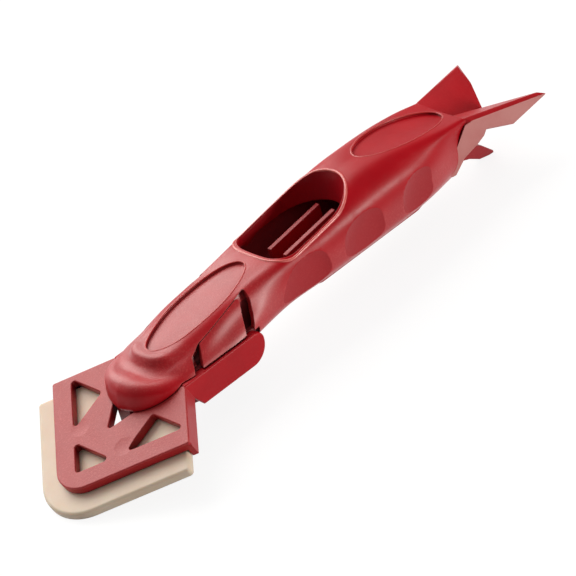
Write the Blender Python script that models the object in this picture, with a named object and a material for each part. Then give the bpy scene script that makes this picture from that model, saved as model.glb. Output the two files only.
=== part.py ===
"""Hand tool for sealant beads: a soft corner blade at the front, a two-winged scraper at the tail."""
import math

import bmesh
import bpy
import numpy as np
from mathutils import Matrix, Vector

mm = 0.001

# Tool axes: X runs from the sharp front corner of the blade plate to the tail, Y across, Z up.
# The handle runs level along X, and the blade plate climbs towards it at plate_pitch.
plate_pitch = math.radians(21.1)
fit_gap = 0.3 * mm
overrun = 4 * mm
merge = 0.005 * mm
weld_reach = 0.002 * mm

# Blade plate
plate_edge = 45 * mm
plate_thickness = 2.9 * mm
plate_nose_radius = 10 * mm
corner_radius = 0.8 * mm
plate_rear_run = 15.3 * mm
notch_tip = 25.7 * mm
notch_half_angle = math.radians(29.5)
notch_radius = 0.7 * mm
window_margin = 6.7 * mm
front_window_base = 17.7 * mm
side_window_inner = 12.0 * mm
side_window_rear = 35.6 * mm
window_radius = 0.7 * mm
flange_height = 6 * mm
flange_thickness = 1.9 * mm

# Arms along the sides of the nose
arm_outer = 16.5 * mm
arm_thickness = 2.7 * mm
arm_top = 17.1 * mm
arm_height = 9.8 * mm
arm_rear = 76 * mm
arm_front_top = 44.2 * mm
arm_tongue = (42.8 * mm, 15.4 * mm)
arm_front_foot = 48.9 * mm
arm_top_radius = 3.1 * mm
arm_foot_radius = 6.5 * mm

# Pegs that carry the blade
peg_radius = 2 * mm
peg_place = 22.8 * mm
peg_spread = 10.1 * mm
peg_rise = 0.9 * mm
peg_sides = 20

# Soft blade
blade_lip = 7 * mm
blade_thickness = 3 * mm
blade_bevel = 1.1 * mm
blade_end_inset = 2.2 * mm
blade_notch_margin = 4.2 * mm
blade_rear_margin = 6 * mm
blade_corner_radius = 1.2 * mm

# Handle body, its stations run from the nose to the tail
body_start = 48 * mm
body_length = 130 * mm
body_half_width = 16 * mm
body_height = 38 * mm
nose_reach = 18 * mm
wall = 2.2 * mm

station_shares = (0, 0.092, 0.184, 0.276, 0.339, 0.436, 0.538, 0.630, 0.708, 0.824, 0.921, 0.969, 1)
top_shares = (0.626, 0.676, 0.722, 0.763, 0.776, 0.832, 0.897, 0.953, 0.980, 0.905, 0.827, 0.789, 0.763)
# One row for each rail below the crown: half widths, then heights, at the stations above
width_shares = (
    (0.280, 0.320, 0.337, 0.281, 0.281, 0.312, 0.312, 0.312, 0.312, 0.312, 0.312, 0.312, 0.300),
    (0.470, 0.537, 0.512, 0.487, 0.500, 0.550, 0.556, 0.562, 0.537, 0.587, 0.600, 0.600, 0.590),
    (0.575, 0.645, 0.590, 0.580, 0.610, 0.655, 0.665, 0.670, 0.655, 0.675, 0.670, 0.660, 0.645),
    (0.735, 0.755, 0.675, 0.670, 0.710, 0.755, 0.770, 0.769, 0.762, 0.750, 0.731, 0.715, 0.700),
    (0.887, 0.887, 0.800, 0.787, 0.806, 0.870, 0.906, 0.912, 0.906, 0.860, 0.740, 0.690, 0.660),
    (0.975, 1.000, 0.969, 0.856, 0.819, 0.881, 0.900, 0.900, 0.894, 0.820, 0.655, 0.600, 0.570),
    (0.950, 0.962, 0.937, 0.837, 0.794, 0.844, 0.856, 0.856, 0.850, 0.775, 0.600, 0.550, 0.520),
    (0.787, 0.800, 0.775, 0.700, 0.650, 0.681, 0.687, 0.687, 0.681, 0.615, 0.485, 0.440, 0.410),
)
height_shares = (
    (0.623, 0.674, 0.720, 0.761, 0.775, 0.832, 0.895, 0.948, 0.971, 0.908, 0.832, 0.795, 0.770),
    (0.608, 0.662, 0.711, 0.750, 0.768, 0.826, 0.882, 0.922, 0.934, 0.897, 0.837, 0.805, 0.785),
    (0.572, 0.638, 0.702, 0.745, 0.763, 0.812, 0.862, 0.893, 0.902, 0.881, 0.833, 0.802, 0.784),
    (0.548, 0.608, 0.678, 0.725, 0.745, 0.783, 0.827, 0.850, 0.857, 0.851, 0.824, 0.795, 0.780),
    (0.510, 0.535, 0.592, 0.642, 0.658, 0.690, 0.716, 0.727, 0.735, 0.737, 0.726, 0.711, 0.700),
    (0.455, 0.460, 0.474, 0.516, 0.526, 0.537, 0.547, 0.547, 0.553, 0.553, 0.558, 0.563, 0.565),
    (0.382, 0.379, 0.389, 0.408, 0.418, 0.426, 0.426, 0.424, 0.426, 0.426, 0.434, 0.442, 0.445),
    (0.347, 0.347, 0.350, 0.353, 0.358, 0.358, 0.355, 0.353, 0.353, 0.353, 0.358, 0.363, 0.366),
)
# The front end of each rail on the centre plane, from the crown down: how far forward, how high
nose_reach_shares = (0.05, 0.15, 0.26, 0.41, 0.74, 0.92, 0.98, 0.97, 0.75)
nose_height_shares = (0.621, 0.619, 0.607, 0.565, 0.541, 0.490, 0.405, 0.318, 0.290)

# Recesses on the top and scallops on the sides
nose_oval_length = 42 * mm
nose_oval_width = 15.6 * mm
nose_oval_place = 67 * mm
nose_oval_depth = 0.8 * mm
tail_oval_length = 37.5 * mm
tail_oval_width = 18 * mm
tail_oval_place = 155.3 * mm
tail_oval_depth = 0.6 * mm
chute_front = 90.8 * mm
chute_rear = 129.5 * mm
chute_half_width = 12.3 * mm
chute_front_bow = 9 * mm
chute_rear_bow = 13.5 * mm
chute_front_power = 3
chute_foot_rear = 126.2 * mm
chute_foot_front = 92.2 * mm
chute_foot_half_width = 11.4 * mm
chute_wall = 1.4 * mm
chute_foot = 26.8 * mm
scallop_places = (97 * mm, 123 * mm, 149.5 * mm)
scallop_height = 17.5 * mm
scallop_half_length = 12.4 * mm
scallop_half_height = 14 * mm
scallop_half_depth = 3 * mm
scallop_spreads = (15.7 * mm, 16.7 * mm, 16.3 * mm)
scallop_lean = math.radians(20)

# Tabs in the sides of the nose, hinged along their top edge, with a slot at either end
tab_hinge_front = (56.6 * mm, 12.6 * mm, 23.4 * mm)
tab_hinge_rear = (75.4 * mm, 10.9 * mm, 27.6 * mm)
tab_foot_front = (52.3 * mm, 16 * mm, 17 * mm)
tab_foot_rear = (70.4 * mm, 15.9 * mm, 17.4 * mm)
# Slot edges: distance from the tab's own end, then depth below the hinge
front_slot_points = ((0.6 * mm, -0.3 * mm), (4.2 * mm, 0.9 * mm), (3.7 * mm, 16 * mm))
rear_slot_points = ((3.4 * mm, 16 * mm), (4.7 * mm, 7 * mm), (4.6 * mm, 3.5 * mm), (3.1 * mm, -0.3 * mm))
tab_bottom = 17.7 * mm
tab_thickness = 2.1 * mm
tab_room = 0.9 * mm
tab_corner_radius = 0.6 * mm
slot_top_radius = 1.2 * mm
slot_end_radius = 0.4 * mm

# Keel in the notch, rails and inner walls between the arms
keel_front = 31.3 * mm
keel_rear = 49.5 * mm
keel_bottom = 6.6 * mm
keel_top_points = ((49.5 * mm, 18.6 * mm), (37.5 * mm, 18.2 * mm), (31.3 * mm, 12.7 * mm))
rail_bottom = 8.4 * mm
rail_top = 17 * mm
rail_thickness = 1.8 * mm
rail_rear = 78.1 * mm
rail_turn = 70 * mm
rail_rear_bottom = 15.1 * mm
inner_wall_outer = 9.2 * mm
inner_wall_thickness = 1.6 * mm
inner_wall_rear = 78.5 * mm

# Cavity
cavity_start = 51.5 * mm
cavity_end = 161 * mm

# Tail
ridge_point = (173.5 * mm, 10.5 * mm, 30.7 * mm)
flare_point = (175.1 * mm, 12.5 * mm, 29.3 * mm)
wing_tip = (200.2 * mm, 20 * mm, 26.4 * mm)
wing_heel = (187.6 * mm, 16.2 * mm, 21.7 * mm)
wing_armpit = (178.9 * mm, 13.6 * mm, 24.6 * mm)
wing_root = (172 * mm, 10.6 * mm, 26 * mm)
valley_front = (175.6 * mm, 0, 27 * mm)
valley_end = (190 * mm, 0, 20.7 * mm)
valley_foot = (184.5 * mm, 0, 17.4 * mm)
valley_root = (171 * mm, 0, 21.9 * mm)
flare_wall = 2 * mm
tail_end_points = (
    (178.9 * mm, 24.6 * mm), (177.5 * mm, 22.7 * mm), (174.8 * mm, 20.9 * mm),
    (169.8 * mm, 18.5 * mm), (165.8 * mm, 14.3 * mm),
)
flare_front_points = ((164.4 * mm, 14.2 * mm), (164 * mm, 15.4 * mm), (168.6 * mm, 23.5 * mm), (172.6 * mm, 29 * mm))

# Base that closes the handle from below
base_front = 104 * mm
base_rear = 164.4 * mm
base_half_width = 10 * mm
base_bottom = 12.3 * mm
base_corner_radius = 3 * mm
plug_inset = 2.6 * mm
plug_rear = 158.6 * mm
plug_top = 15.6 * mm
mouth_bottom = 13.1 * mm
rib_spread = 3.5 * mm
rib_thickness = 1.7 * mm
rib_points = (
    (107.8 * mm, 14 * mm), (124.6 * mm, 14 * mm), (124.6 * mm, 27.7 * mm), (100.3 * mm, 24.5 * mm),
    (100.3 * mm, 20 * mm), (107.4 * mm, 17 * mm),
)
hook_width = 3.6 * mm
hook_points = (
    (156 * mm, 13.6 * mm), (172 * mm, 12.4 * mm), (178.4 * mm, 10.1 * mm), (182.2 * mm, 7.7 * mm),
    (186.2 * mm, 6.8 * mm), (188.2 * mm, 6.7 * mm), (188.1 * mm, 7.5 * mm), (184.3 * mm, 11.6 * mm),
    (177 * mm, 16 * mm), (156 * mm, 16.4 * mm),
)
hook_channel_front = 155 * mm
hook_channel_rear = 171 * mm
hook_channel_top = 17.2 * mm

# Flats where the tool rests on a table
rest_flat = 0.15 * mm

# Boolean solver by object, EXACT where none is named; EXACT loses the shell at its thin side walls
solvers = {"handle_shell": "MANIFOLD"}

# Grid counts
nose_steps = (3, 3, 3, 2)
body_steps = (3, 3, 3, 3, 3, 3, 3, 3, 3, 3, 2, 1)
ring_steps = (2, 2, 2, 2, 3, 3, 3, 2)
nose_turns = 4
arc_steps = 8


def clear_scene():
    for obj in list(bpy.data.objects):
        bpy.data.objects.remove(obj, do_unlink=True)


def make_collection(name):
    coll = bpy.data.collections.new(name)
    bpy.context.scene.collection.children.link(coll)
    return coll


def make_material(name, colour, roughness, metallic=0.0):
    mat = bpy.data.materials.new(name)
    mat.use_nodes = True
    shader = mat.node_tree.nodes["Principled BSDF"]
    shader.inputs["Base Color"].default_value = (*colour, 1)
    shader.inputs["Roughness"].default_value = roughness
    shader.inputs["Metallic"].default_value = metallic
    return mat


def new_object(name, mesh, coll):
    obj = bpy.data.objects.new(name, mesh)
    coll.objects.link(obj)
    return obj


def finish_mesh(bm, name):
    """Weld, point the faces out and turn the bmesh into a mesh."""
    bmesh.ops.remove_doubles(bm, verts=bm.verts, dist=merge)
    bmesh.ops.recalc_face_normals(bm, faces=bm.faces)
    if bm.calc_volume(signed=True) < 0:
        bmesh.ops.reverse_faces(bm, faces=bm.faces)
    mesh = bpy.data.meshes.new(name)
    bm.to_mesh(mesh)
    bm.free()
    return mesh


def prism(name, points, low, high, coll, frame=None, across=False):
    """A flat outline as a filled 2D curve with a height, made a mesh; across lays it in XZ and runs it along Y."""
    curve = bpy.data.curves.new(name, "CURVE")
    curve.dimensions = "2D"
    curve.fill_mode = "BOTH"
    curve.extrude = (high - low) / 2
    line = curve.splines.new("POLY")
    line.points.add(len(points) - 1)
    for point, (a, b) in zip(line.points, points):
        point.co = (a, b, 0, 1)
    line.use_cyclic_u = True
    draft = new_object(name + "_outline", curve, coll)
    bpy.context.view_layer.update()
    mesh = bpy.data.meshes.new_from_object(draft.evaluated_get(bpy.context.evaluated_depsgraph_get()))
    bpy.data.objects.remove(draft)
    bm = bmesh.new()
    bm.from_mesh(mesh)
    bpy.data.meshes.remove(mesh)
    bmesh.ops.translate(bm, verts=bm.verts, vec=(0, 0, (low + high) / 2))
    if across:
        bmesh.ops.transform(bm, verts=bm.verts, matrix=Matrix(((1, 0, 0), (0, 0, 1), (0, 1, 0))))
    if frame:
        bmesh.ops.transform(bm, verts=bm.verts, matrix=frame)
    return new_object(name, finish_mesh(bm, name), coll)


def rod(name, radius, low, high, place, frame, coll):
    """A round peg along the third axis of frame."""
    bm = bmesh.new()
    bmesh.ops.create_cone(bm, cap_ends=True, segments=peg_sides, radius1=radius, radius2=radius, depth=high - low)
    bmesh.ops.translate(bm, verts=bm.verts, vec=(place[0], place[1], (low + high) / 2))
    bmesh.ops.transform(bm, verts=bm.verts, matrix=frame)
    return new_object(name, finish_mesh(bm, name), coll)


def hull(name, points, coll):
    """The smallest convex solid round some points."""
    bm = bmesh.new()
    for point in points:
        bm.verts.new(point)
    found = bmesh.ops.convex_hull(bm, input=bm.verts)
    spare = [v for v in found["geom_unused"] + found["geom_interior"] if isinstance(v, bmesh.types.BMVert)]
    bmesh.ops.delete(bm, geom=list(set(spare)), context="VERTS")
    return new_object(name, finish_mesh(bm, name), coll)


def weld(mesh):
    """Close up the hair-thin faces that a Boolean can leave behind."""
    bm = bmesh.new()
    bm.from_mesh(mesh)
    bmesh.ops.remove_doubles(bm, verts=bm.verts, dist=weld_reach)
    bmesh.ops.dissolve_degenerate(bm, edges=bm.edges, dist=weld_reach)
    bm.to_mesh(mesh)
    bm.free()


def combine(target, other, operation):
    """Join, cut or intersect target with other, apply it and remove other."""
    mod = target.modifiers.new(operation.lower(), "BOOLEAN")
    mod.operation = operation
    mod.solver = solvers.get(target.name, "EXACT")
    mod.object = other
    bpy.context.view_layer.update()
    mesh = bpy.data.meshes.new_from_object(target.evaluated_get(bpy.context.evaluated_depsgraph_get()))
    weld(mesh)
    old = target.data
    target.modifiers.clear()
    target.data = mesh
    bpy.data.meshes.remove(old)
    bpy.data.objects.remove(other)


def rounded(points, radii, steps=arc_steps):
    """Round each corner of a closed outline with an arc of its own radius."""
    out = []
    count = len(points)
    for i in range(count):
        corner = Vector(points[i])
        before = (Vector(points[i - 1]) - corner).normalized()
        after = (Vector(points[(i + 1) % count]) - corner).normalized()
        if radii[i] == 0:
            out.append(tuple(corner))
            continue
        half = before.angle(after) / 2
        run = radii[i] / math.tan(half)
        centre = corner + (before + after).normalized() * (radii[i] / math.sin(half))
        start = corner + before * run - centre
        end = corner + after * run - centre
        turn = start.angle_signed(end)
        for k in range(steps + 1):
            arm = start.copy()
            arm.rotate(Matrix.Rotation(-turn * k / steps, 2))
            out.append(tuple(centre + arm))
    return out


def through(points, steps):
    """Natural cubic through a row of points, knotted by chord length, with a set count of steps on each span."""
    chord = np.linalg.norm(np.diff(points, axis=0), axis=1)
    count = len(points)
    rows = np.zeros((count, count))
    right = np.zeros((count, points.shape[1]))
    rows[0, 0] = rows[-1, -1] = 1
    for i in range(1, count - 1):
        rows[i, i - 1:i + 2] = chord[i - 1], 2 * (chord[i - 1] + chord[i]), chord[i]
        right[i] = 6 * ((points[i + 1] - points[i]) / chord[i] - (points[i] - points[i - 1]) / chord[i - 1])
    bend = np.linalg.solve(rows, right)
    out = [points[:1]]
    for i, parts in enumerate(steps):
        b = (np.arange(parts) + 1)[:, None] / parts
        a = 1 - b
        out.append(a * points[i] + b * points[i + 1]
                   + ((a ** 3 - a) * bend[i] + (b ** 3 - b) * bend[i + 1]) * chord[i] ** 2 / 6)
    return np.concatenate(out)


def body_cage():
    """Control points of one half of the body: sections from the nose to the tail, rails from crown to foot."""
    places = body_start + body_length * np.array(station_shares)
    widths = body_half_width * np.vstack((np.zeros(len(places)), width_shares))
    heights = body_height * np.vstack((top_shares, height_shares))
    body = np.stack((np.broadcast_to(places, widths.shape), widths, heights), axis=2).transpose(1, 0, 2)
    first = body[0]
    front = np.stack((body_start - nose_reach * np.array(nose_reach_shares), np.zeros(len(first)),
                      body_height * np.array(nose_height_shares)), axis=1)
    sections = []
    for k in range(nose_turns):
        angle = math.pi / 2 * k / nose_turns
        turn = np.array((1 - math.cos(angle), math.sin(angle), 1 - math.cos(angle)))
        sections.append(front + (first - front) * turn)
    return np.concatenate((np.array(sections), body))


def body_grid(inset=0.0):
    """The smooth half surface on a grid; inset moves it inwards along its normals."""
    fine = np.stack([through(section, ring_steps) for section in body_cage()])
    grid = np.stack([through(fine[:, j], nose_steps + body_steps) for j in range(fine.shape[1])], axis=1)
    grid[0, :, 1] = 0
    grid[:, 0, 1] = 0
    if inset:
        along = np.gradient(grid, axis=0)
        across = np.gradient(grid, axis=1)
        normal = np.cross(along, across)
        normal /= np.maximum(np.linalg.norm(normal, axis=2, keepdims=True), 1e-12)
        normal[:, 0, 1] = 0
        normal[0, :, 1] = 0
        normal[0, 0] = normal[1, 0]
        grid = grid - normal * inset
    return grid


def lofted(name, grid, coll):
    """Close a half grid and its mirror image into one solid, with a flat foot and flat ends where open."""
    rows, cols = grid.shape[:2]
    grid = grid.copy()
    ends = [i for i in (0, -1) if grid[i, :, 1].max() > merge]
    for i in ends:
        grid[i, :, 0] = grid[i, :, 0].mean()
    bm = bmesh.new()
    sides = []
    for sign in (1, -1):
        sides.append([[bm.verts.new((x, sign * y, z)) for x, y, z in row] for row in grid])
    left, right = sides
    for i in range(rows - 1):
        for j in range(cols - 1):
            bm.faces.new((left[i][j], left[i][j + 1], left[i + 1][j + 1], left[i + 1][j]))
            bm.faces.new((right[i][j], right[i + 1][j], right[i + 1][j + 1], right[i][j + 1]))
        bm.faces.new((left[i][-1], right[i][-1], right[i + 1][-1], left[i + 1][-1]))
    for i in ends:
        bm.faces.new(left[i] + right[i][::-1])
    bmesh.ops.remove_doubles(bm, verts=bm.verts, dist=merge)
    bmesh.ops.dissolve_degenerate(bm, edges=bm.edges, dist=merge)
    return new_object(name, finish_mesh(bm, name), coll)


def ellipse(length, width, count=36):
    return [(length / 2 * math.cos(2 * math.pi * k / count), width / 2 * math.sin(2 * math.pi * k / count))
            for k in range(count)]


def plate_frame():
    return Matrix.Rotation(-plate_pitch, 4, "Y")


def plate_corner():
    return plate_edge * math.sin(math.pi / 4)


def plate_rear():
    """The place where a rear side edge of the plate meets its arm, in plate axes."""
    corner = plate_corner()
    return corner + plate_rear_run, arm_outer


def chute_outline(front, rear, half, margin):
    """Plan of the opening in the top: blunt in front, half an ellipse behind."""
    points = []
    turns = 2 * arc_steps
    for k in range(turns):
        angle = -math.pi / 2 + math.pi * k / turns
        points.append((rear - chute_rear_bow + (chute_rear_bow + margin) * math.cos(angle),
                       (half + margin) * math.sin(angle)))
    for k in range(turns):
        angle = math.pi / 2 + math.pi * k / turns
        cos, sin = abs(math.cos(angle)), math.sin(angle)
        reach = cos ** (2 / chute_front_power) * (chute_front_bow + margin)
        side = math.copysign(abs(sin) ** (2 / chute_front_power), sin) * (half + margin)
        points.append((front + chute_front_bow - reach, side))
    return points


def chute_solid(name, margin, low, coll):
    """A tapered block through the opening, from its rim down to its foot and on to low."""
    high = body_height + overrun
    rise = (high - chute_foot) / (body_height - chute_foot)
    rim = np.array(chute_outline(chute_front, chute_rear, chute_half_width, margin))
    foot = np.array(chute_outline(chute_foot_front, chute_foot_rear, chute_foot_half_width, margin))
    top = foot + (rim - foot) * rise
    return hull(name, [(x, y, high) for x, y in top] + [(x, y, chute_foot) for x, y in foot]
                + ([(x, y, low) for x, y in foot] if low < chute_foot else []), coll)


def make_head_frame(coll, mat):
    """The blade plate with its windows and notch, the flanges behind it, the arms and the blade pegs."""
    frame = plate_frame()
    corner = plate_corner()
    rear_d, rear_c = plate_rear()
    arm_inner = arm_outer - arm_thickness
    notch_c = (rear_d - notch_tip) * math.tan(notch_half_angle)
    outline = [(0, 0), (corner, -corner), (rear_d, -rear_c), (rear_d, -notch_c), (notch_tip, 0),
               (rear_d, notch_c), (rear_d, rear_c), (corner, corner)]
    radii = (plate_nose_radius, corner_radius, 0, 0, notch_radius, 0, 0, corner_radius)
    plate = prism("head_frame", rounded(outline, radii), -plate_thickness, 0, coll, frame)

    edge_shift = window_margin * math.sqrt(2)
    tip = edge_shift
    base = front_window_base
    half = base - tip
    windows = [[(tip, 0), (base, -half), (base, half)]]
    outer = side_window_rear - edge_shift
    lower = side_window_inner + edge_shift
    for sign in (1, -1):
        windows.append([(lower, sign * side_window_inner), (side_window_rear, sign * outer),
                        (side_window_rear, sign * side_window_inner)])
    for points in windows:
        shape = rounded(points, [window_radius] * 3, 4)
        hole = prism("window_cut", shape, -plate_thickness - overrun, overrun, coll, frame)
        combine(plate, hole, "DIFFERENCE")

    run = Vector((rear_d - corner, rear_c - corner)).normalized()
    inward = Vector((-run.y, run.x))
    if inward.dot(Vector((-1, -1))) < 0:
        inward = -inward
    for sign in (1, -1):
        a = Vector((corner, corner))
        b = Vector((rear_d, rear_c))
        c = b + inward * flange_thickness
        d = a + inward * flange_thickness
        points = [(p.x, sign * p.y) for p in (a, b, c, d)]
        flange = prism("flange", points, -flange_height, -plate_thickness / 2, coll, frame)
        combine(plate, flange, "UNION")

    low = arm_top - arm_height
    side = [(arm_front_foot, low), (arm_rear, low), (arm_rear, arm_top), (arm_front_top, arm_top), arm_tongue]
    shape = rounded(side, (0, arm_foot_radius, arm_top_radius, 0, 0), 6)
    for sign in (1, -1):
        near, far = sorted((sign * arm_inner, sign * arm_outer))
        arm = prism("arm", shape, near, far, coll, across=True)
        combine(plate, arm, "UNION")

    for sign in (1, -1):
        peg = rod("peg", peg_radius, -plate_thickness - fit_gap - blade_thickness - peg_rise,
                  -plate_thickness / 2, (peg_place, sign * peg_spread), frame, coll)
        combine(plate, peg, "UNION")
    plate.data.materials.clear()
    plate.data.materials.append(mat)
    return plate


def make_blade(coll, mat):
    """The soft corner blade under the plate, with a bevelled lip past both working edges."""
    frame = plate_frame()
    corner = plate_corner()
    rear_d, rear_c = plate_rear()
    shift = blade_lip * math.sqrt(2)
    run = Vector((rear_d - corner, rear_c - corner)).normalized()
    inward = Vector((-run.y, run.x))
    if inward.dot(Vector((-1, -1))) < 0:
        inward = -inward
    start = Vector((corner, corner)) + inward * (flange_thickness + fit_gap)
    # The end edge of the lip runs square to the working edge, just inside the flange
    edge = Vector((1, 1)).normalized()
    out = Vector((-1, 1)).normalized()
    end_in = Vector((corner, corner)) - edge * blade_end_inset
    end_out = end_in + out * blade_lip
    tip = notch_tip - blade_notch_margin / math.sin(notch_half_angle)
    rear = rear_d - blade_rear_margin
    rear_out = start + run * ((rear - start.x) / run.x)
    flange_start = start + run * max(0.0, (end_in.y - start.y) / run.y)
    half = [(tip, 0), (rear, (rear - tip) * math.tan(notch_half_angle)), tuple(rear_out), tuple(flange_start),
            tuple(end_in), tuple(end_out), (-shift, 0)]
    outline = half + [(x, -y) for x, y in half[-2:0:-1]]
    radii = [notch_radius, 0, corner_radius, 0, 0, blade_corner_radius, plate_nose_radius + blade_lip,
             blade_corner_radius, 0, 0, corner_radius, 0]
    top = -plate_thickness - fit_gap
    blade = prism("finishing_blade", rounded(outline, radii, 10), top - blade_thickness, top, coll, frame)
    for sign in (1, -1):
        hole = rod("peg_hole", peg_radius + fit_gap, top - blade_thickness - overrun, top + overrun,
                   (peg_place, sign * peg_spread), frame, coll)
        combine(blade, hole, "DIFFERENCE")
    blade.data.materials.clear()
    blade.data.materials.append(mat)
    return blade


def side_frame(sign):
    """Axes of a side panel: along the hinge, down the panel, outwards."""
    front, rear, foot_front, foot_rear = [
        Vector((x, sign * y, z)) for x, y, z in (tab_hinge_front, tab_hinge_rear, tab_foot_front, tab_foot_rear)]
    along = (rear - front).normalized()
    down = (foot_front + foot_rear - front - rear).normalized()
    out = along.cross(down).normalized()
    down = out.cross(along).normalized()
    if out.y * sign < 0:
        out = -out
    frame = Matrix((along, down, out)).transposed().to_4x4()
    frame.translation = (front + rear) / 2
    return frame


def side_outline(frame, sign, grow):
    """The tab outline in panel axes; grow adds the slot at either end and a gap above."""
    front, rear, foot_front, foot_rear = [
        (frame.inverted() @ Vector((x, sign * y, z))).to_2d()
        for x, y, z in (tab_hinge_front, tab_hinge_rear, tab_foot_front, tab_foot_rear)]
    front_lean = (foot_front.x - front.x) / (foot_front.y - front.y)
    rear_lean = (foot_rear.x - rear.x) / (foot_rear.y - rear.y)
    if grow:
        points = [(rear.x + away + rear_lean * deep, deep) for away, deep in rear_slot_points[::-1]]
        points += [(front.x - away + front_lean * deep, deep) for away, deep in front_slot_points[::-1]]
        radii = (slot_end_radius, slot_top_radius, slot_top_radius, 0, 0, slot_top_radius, slot_end_radius)
    else:
        deep = rear_slot_points[0][1]
        points = [(rear.x, rear.y), (rear.x + rear_lean * deep, deep),
                  (front.x + front_lean * deep, deep), (front.x, front.y)]
        radii = (tab_corner_radius, 0, 0, tab_corner_radius)
    return rounded(points, radii, 4)


def make_tab(name, sign, coll, mat):
    frame = side_frame(sign)
    tab = prism(name, side_outline(frame, sign, False), -tab_thickness, overrun, coll, frame)
    combine(tab, lofted("tab_limit", body_grid(), coll), "INTERSECT")
    reach = body_half_width + overrun
    floor = prism("tab_floor", [(body_start, -overrun), (arm_rear, -overrun), (arm_rear, tab_bottom),
                                (body_start, tab_bottom)], -reach, reach, coll, across=True)
    combine(tab, floor, "DIFFERENCE")
    tab.data.materials.clear()
    tab.data.materials.append(mat)
    return tab


def add_tail(shell, coll):
    """The end of the body cut to its outline, the flared sides and the two wings with the valley between them."""
    reach = wing_tip[1]
    points = list(tail_end_points)
    rear = wing_tip[0]
    trim = points + [(points[-1][0], -overrun), (rear, -overrun), (rear, points[0][1])]
    combine(shell, prism("tail_trim", trim, -reach, reach, coll, across=True), "DIFFERENCE")
    (x0, _, z0), (x1, _, z1) = ridge_point, valley_front
    slope = (x1 - x0) / (z1 - z0)
    high = body_height + overrun
    low = points[0][1] - overrun
    end = [(x0 + (high - z0) * slope, high), (x0 + (low - z0) * slope, low), (rear, low), (rear, high)]
    combine(shell, prism("end_trim", end, -reach, reach, coll, across=True), "DIFFERENCE")

    x0, y0, z0 = flare_point
    slope = (wing_tip[1] - y0) / (wing_tip[0] - x0)
    stretch = math.sqrt(1 + slope ** 2)
    outline = [((x - x0) * stretch, z) for x, z in (flare_point[::2],) + tail_end_points + flare_front_points]
    for sign in (1, -1):
        frame = Matrix.Translation((x0, sign * y0, 0)) @ Matrix.Rotation(sign * math.atan(slope), 4, "Z")
        low, high = sorted((0, -sign * flare_wall))
        combine(shell, prism("flare", outline, low, high, coll, frame, across=True), "UNION")
        points = [(x, sign * y, z) for x, y, z in (
            ridge_point, flare_point, wing_tip, wing_heel, wing_armpit, wing_root,
            valley_front, valley_end, valley_foot, valley_root)]
        combine(shell, hull("wing", points, coll), "UNION")


def oval_cut(name, length, width, place, depth, coll):
    """An elliptical block above the body whose underside lies at a constant depth below the surface."""
    block = prism(name, ellipse(length, width), body_height / 2, body_height + overrun, coll,
                  Matrix.Translation((place, 0, 0)))
    combine(block, lofted("oval_limit", body_grid(depth), coll), "DIFFERENCE")
    return block


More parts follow.
